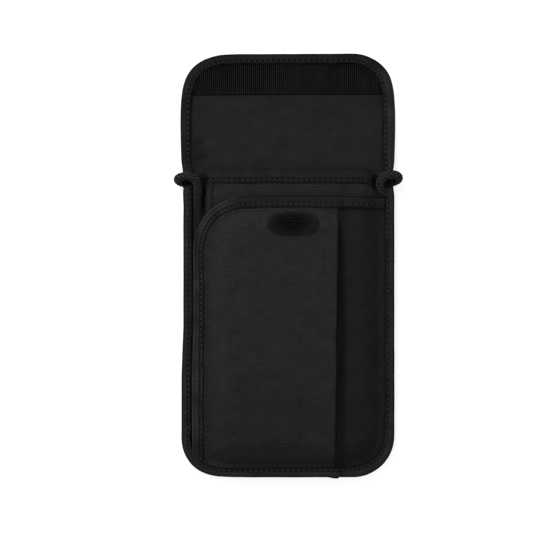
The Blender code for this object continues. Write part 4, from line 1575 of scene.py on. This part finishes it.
def hem_seam_at(s):
    y = PASSPORT_MOUTH_Y - 8.0 - s
    x = passport_left(y) + 1.45
    return (drawn(x, y), y, passport_height(x, y) + POCKET_CLOTH + 0.5)


stitches("passport_hem_stitches", THREAD, "pouch", HEM_SEAM, (hem_seam_at, 95), pitch=2.7, thickness=0.6)


def loop_seam_at(s):
    x = s - LOOP_SEAM / 2
    y = LOOP_STRIP_LOW + 1.7 + 0.12 * ripple(x, 0, 14, 96)
    return (x, y, back_height(x, y) + 0.6)


stitches("loop_strip_stitches", DARK_THREAD, "flap", LOOP_SEAM, (loop_seam_at, 97), pitch=3.1)


HOOK_STRAIGHT = HOOK_LENGTH - HOOK_WIDTH
HOOK_SEAM_RADIUS = HOOK_WIDTH / 2 - HOOK_SEAM_IN
HOOK_HALF_ROUND = HOOK_STRAIGHT + math.pi * HOOK_SEAM_RADIUS


def hook_seam_at(s):
    """Round the hook patch, just inside its edge: a long side and an end, and then the other two."""
    s %= 2 * HOOK_HALF_ROUND
    side = 1 if s < HOOK_HALF_ROUND else -1
    along = s % HOOK_HALF_ROUND
    turn = max(along - HOOK_STRAIGHT, 0) / HOOK_SEAM_RADIUS
    reach = min(along, HOOK_STRAIGHT) - HOOK_STRAIGHT / 2
    x = HOOK_CENTRE[0] + side * (reach + HOOK_SEAM_RADIUS * math.sin(turn))
    y = HOOK_CENTRE[1] + side * HOOK_SEAM_RADIUS * math.cos(turn)
    return (x, y + front_bow(x, y), hook_surface(x, y) + 0.75)


stitches("hook_patch_stitches", HOOKS, "pouch", 2 * HOOK_HALF_ROUND, (hook_seam_at, 98), pitch=2.9)

# ---------------------------------------------------------------- the sheets' areas, worked out and not used


def declare_sheet(piece, width, length):
    area = 0.0
    corners = [v.co for v in piece.data.vertices]
    for face in piece.data.polygons:
        a, b, c, d = (corners[i] for i in face.vertices)
        area += abs((c.x - a.x) * (d.y - b.y) - (d.x - b.x) * (c.y - a.y)) / 2
    area = min(area, width * length)


declare_sheet(back, 0.1334, 0.2666)
declare_sheet(passport, 0.1185, 0.1945)
declare_sheet(front, 0.1270, 0.1780)
declare_sheet(card, 0.0970, 0.1750)

# ---------------------------------------------------------------- the floor and the light


def floor_material():
    made = bpy.data.materials.new("pale_floor")
    made.use_nodes = True
    tree = made.node_tree
    shader = tree.nodes["Principled BSDF"]
    shader.inputs["Roughness"].default_value = 0.9
    shader.inputs["Specular IOR Level"].default_value = 0.1
    shader.inputs["Emission Color"].default_value = (1, 1, 1, 1)
    shader.inputs["Emission Strength"].default_value = 0.72
    place = node(tree, "ShaderNodeTexCoord").outputs["Object"]
    soft = blotches(tree, place, 3.0)
    tree.links.new(toned(tree, grey(0.5), grey(0.53), soft), shader.inputs["Base Color"])
    return made


FLOOR_REACH = 4.0
FLOOR_Z = -0.0004
corners = ((-1, -1), (1, -1), (1, 1), (-1, 1))
floor_corners = [(x * FLOOR_REACH, y * FLOOR_REACH, FLOOR_Z) for x, y in corners]
floor_mesh = bpy.data.meshes.new("floor")
floor_mesh.from_pydata(floor_corners, [], [(0, 1, 2, 3)])
floor_mesh.materials.append(floor_material())
floor = bpy.data.objects.new("floor", floor_mesh)
bpy.context.scene.collection.objects.link(floor)


def area_light(name, place, target, size, power):
    light = bpy.data.lights.new(name, "AREA")
    light.shape = "SQUARE"
    light.size = size
    light.energy = power
    made = bpy.data.objects.new(name, light)
    made.location = place
    made.rotation_euler = (Vector(target) - Vector(place)).to_track_quat("-Z", "Y").to_euler()
    bpy.context.scene.collection.objects.link(made)


area_light("key_light", (-0.22, 0.46, 0.52), (0, 0.03, 0), 0.32, 3.6)
area_light("rim_light", (-1.0, 0.25, 0.3), (-0.03, 0, 0), 0.25, 2.6)
area_light("fill_light", (0.6, -0.5, 1.3), (0, 0, 0), 0.9, 1.5)
world = bpy.data.worlds.new("studio")
world.use_nodes = True
world.node_tree.nodes["Background"].inputs[0].default_value = (1, 1, 1, 1)
world.node_tree.nodes["Background"].inputs[1].default_value = 0.58
bpy.context.scene.world = world
bpy.context.scene.view_settings.view_transform = "Standard"
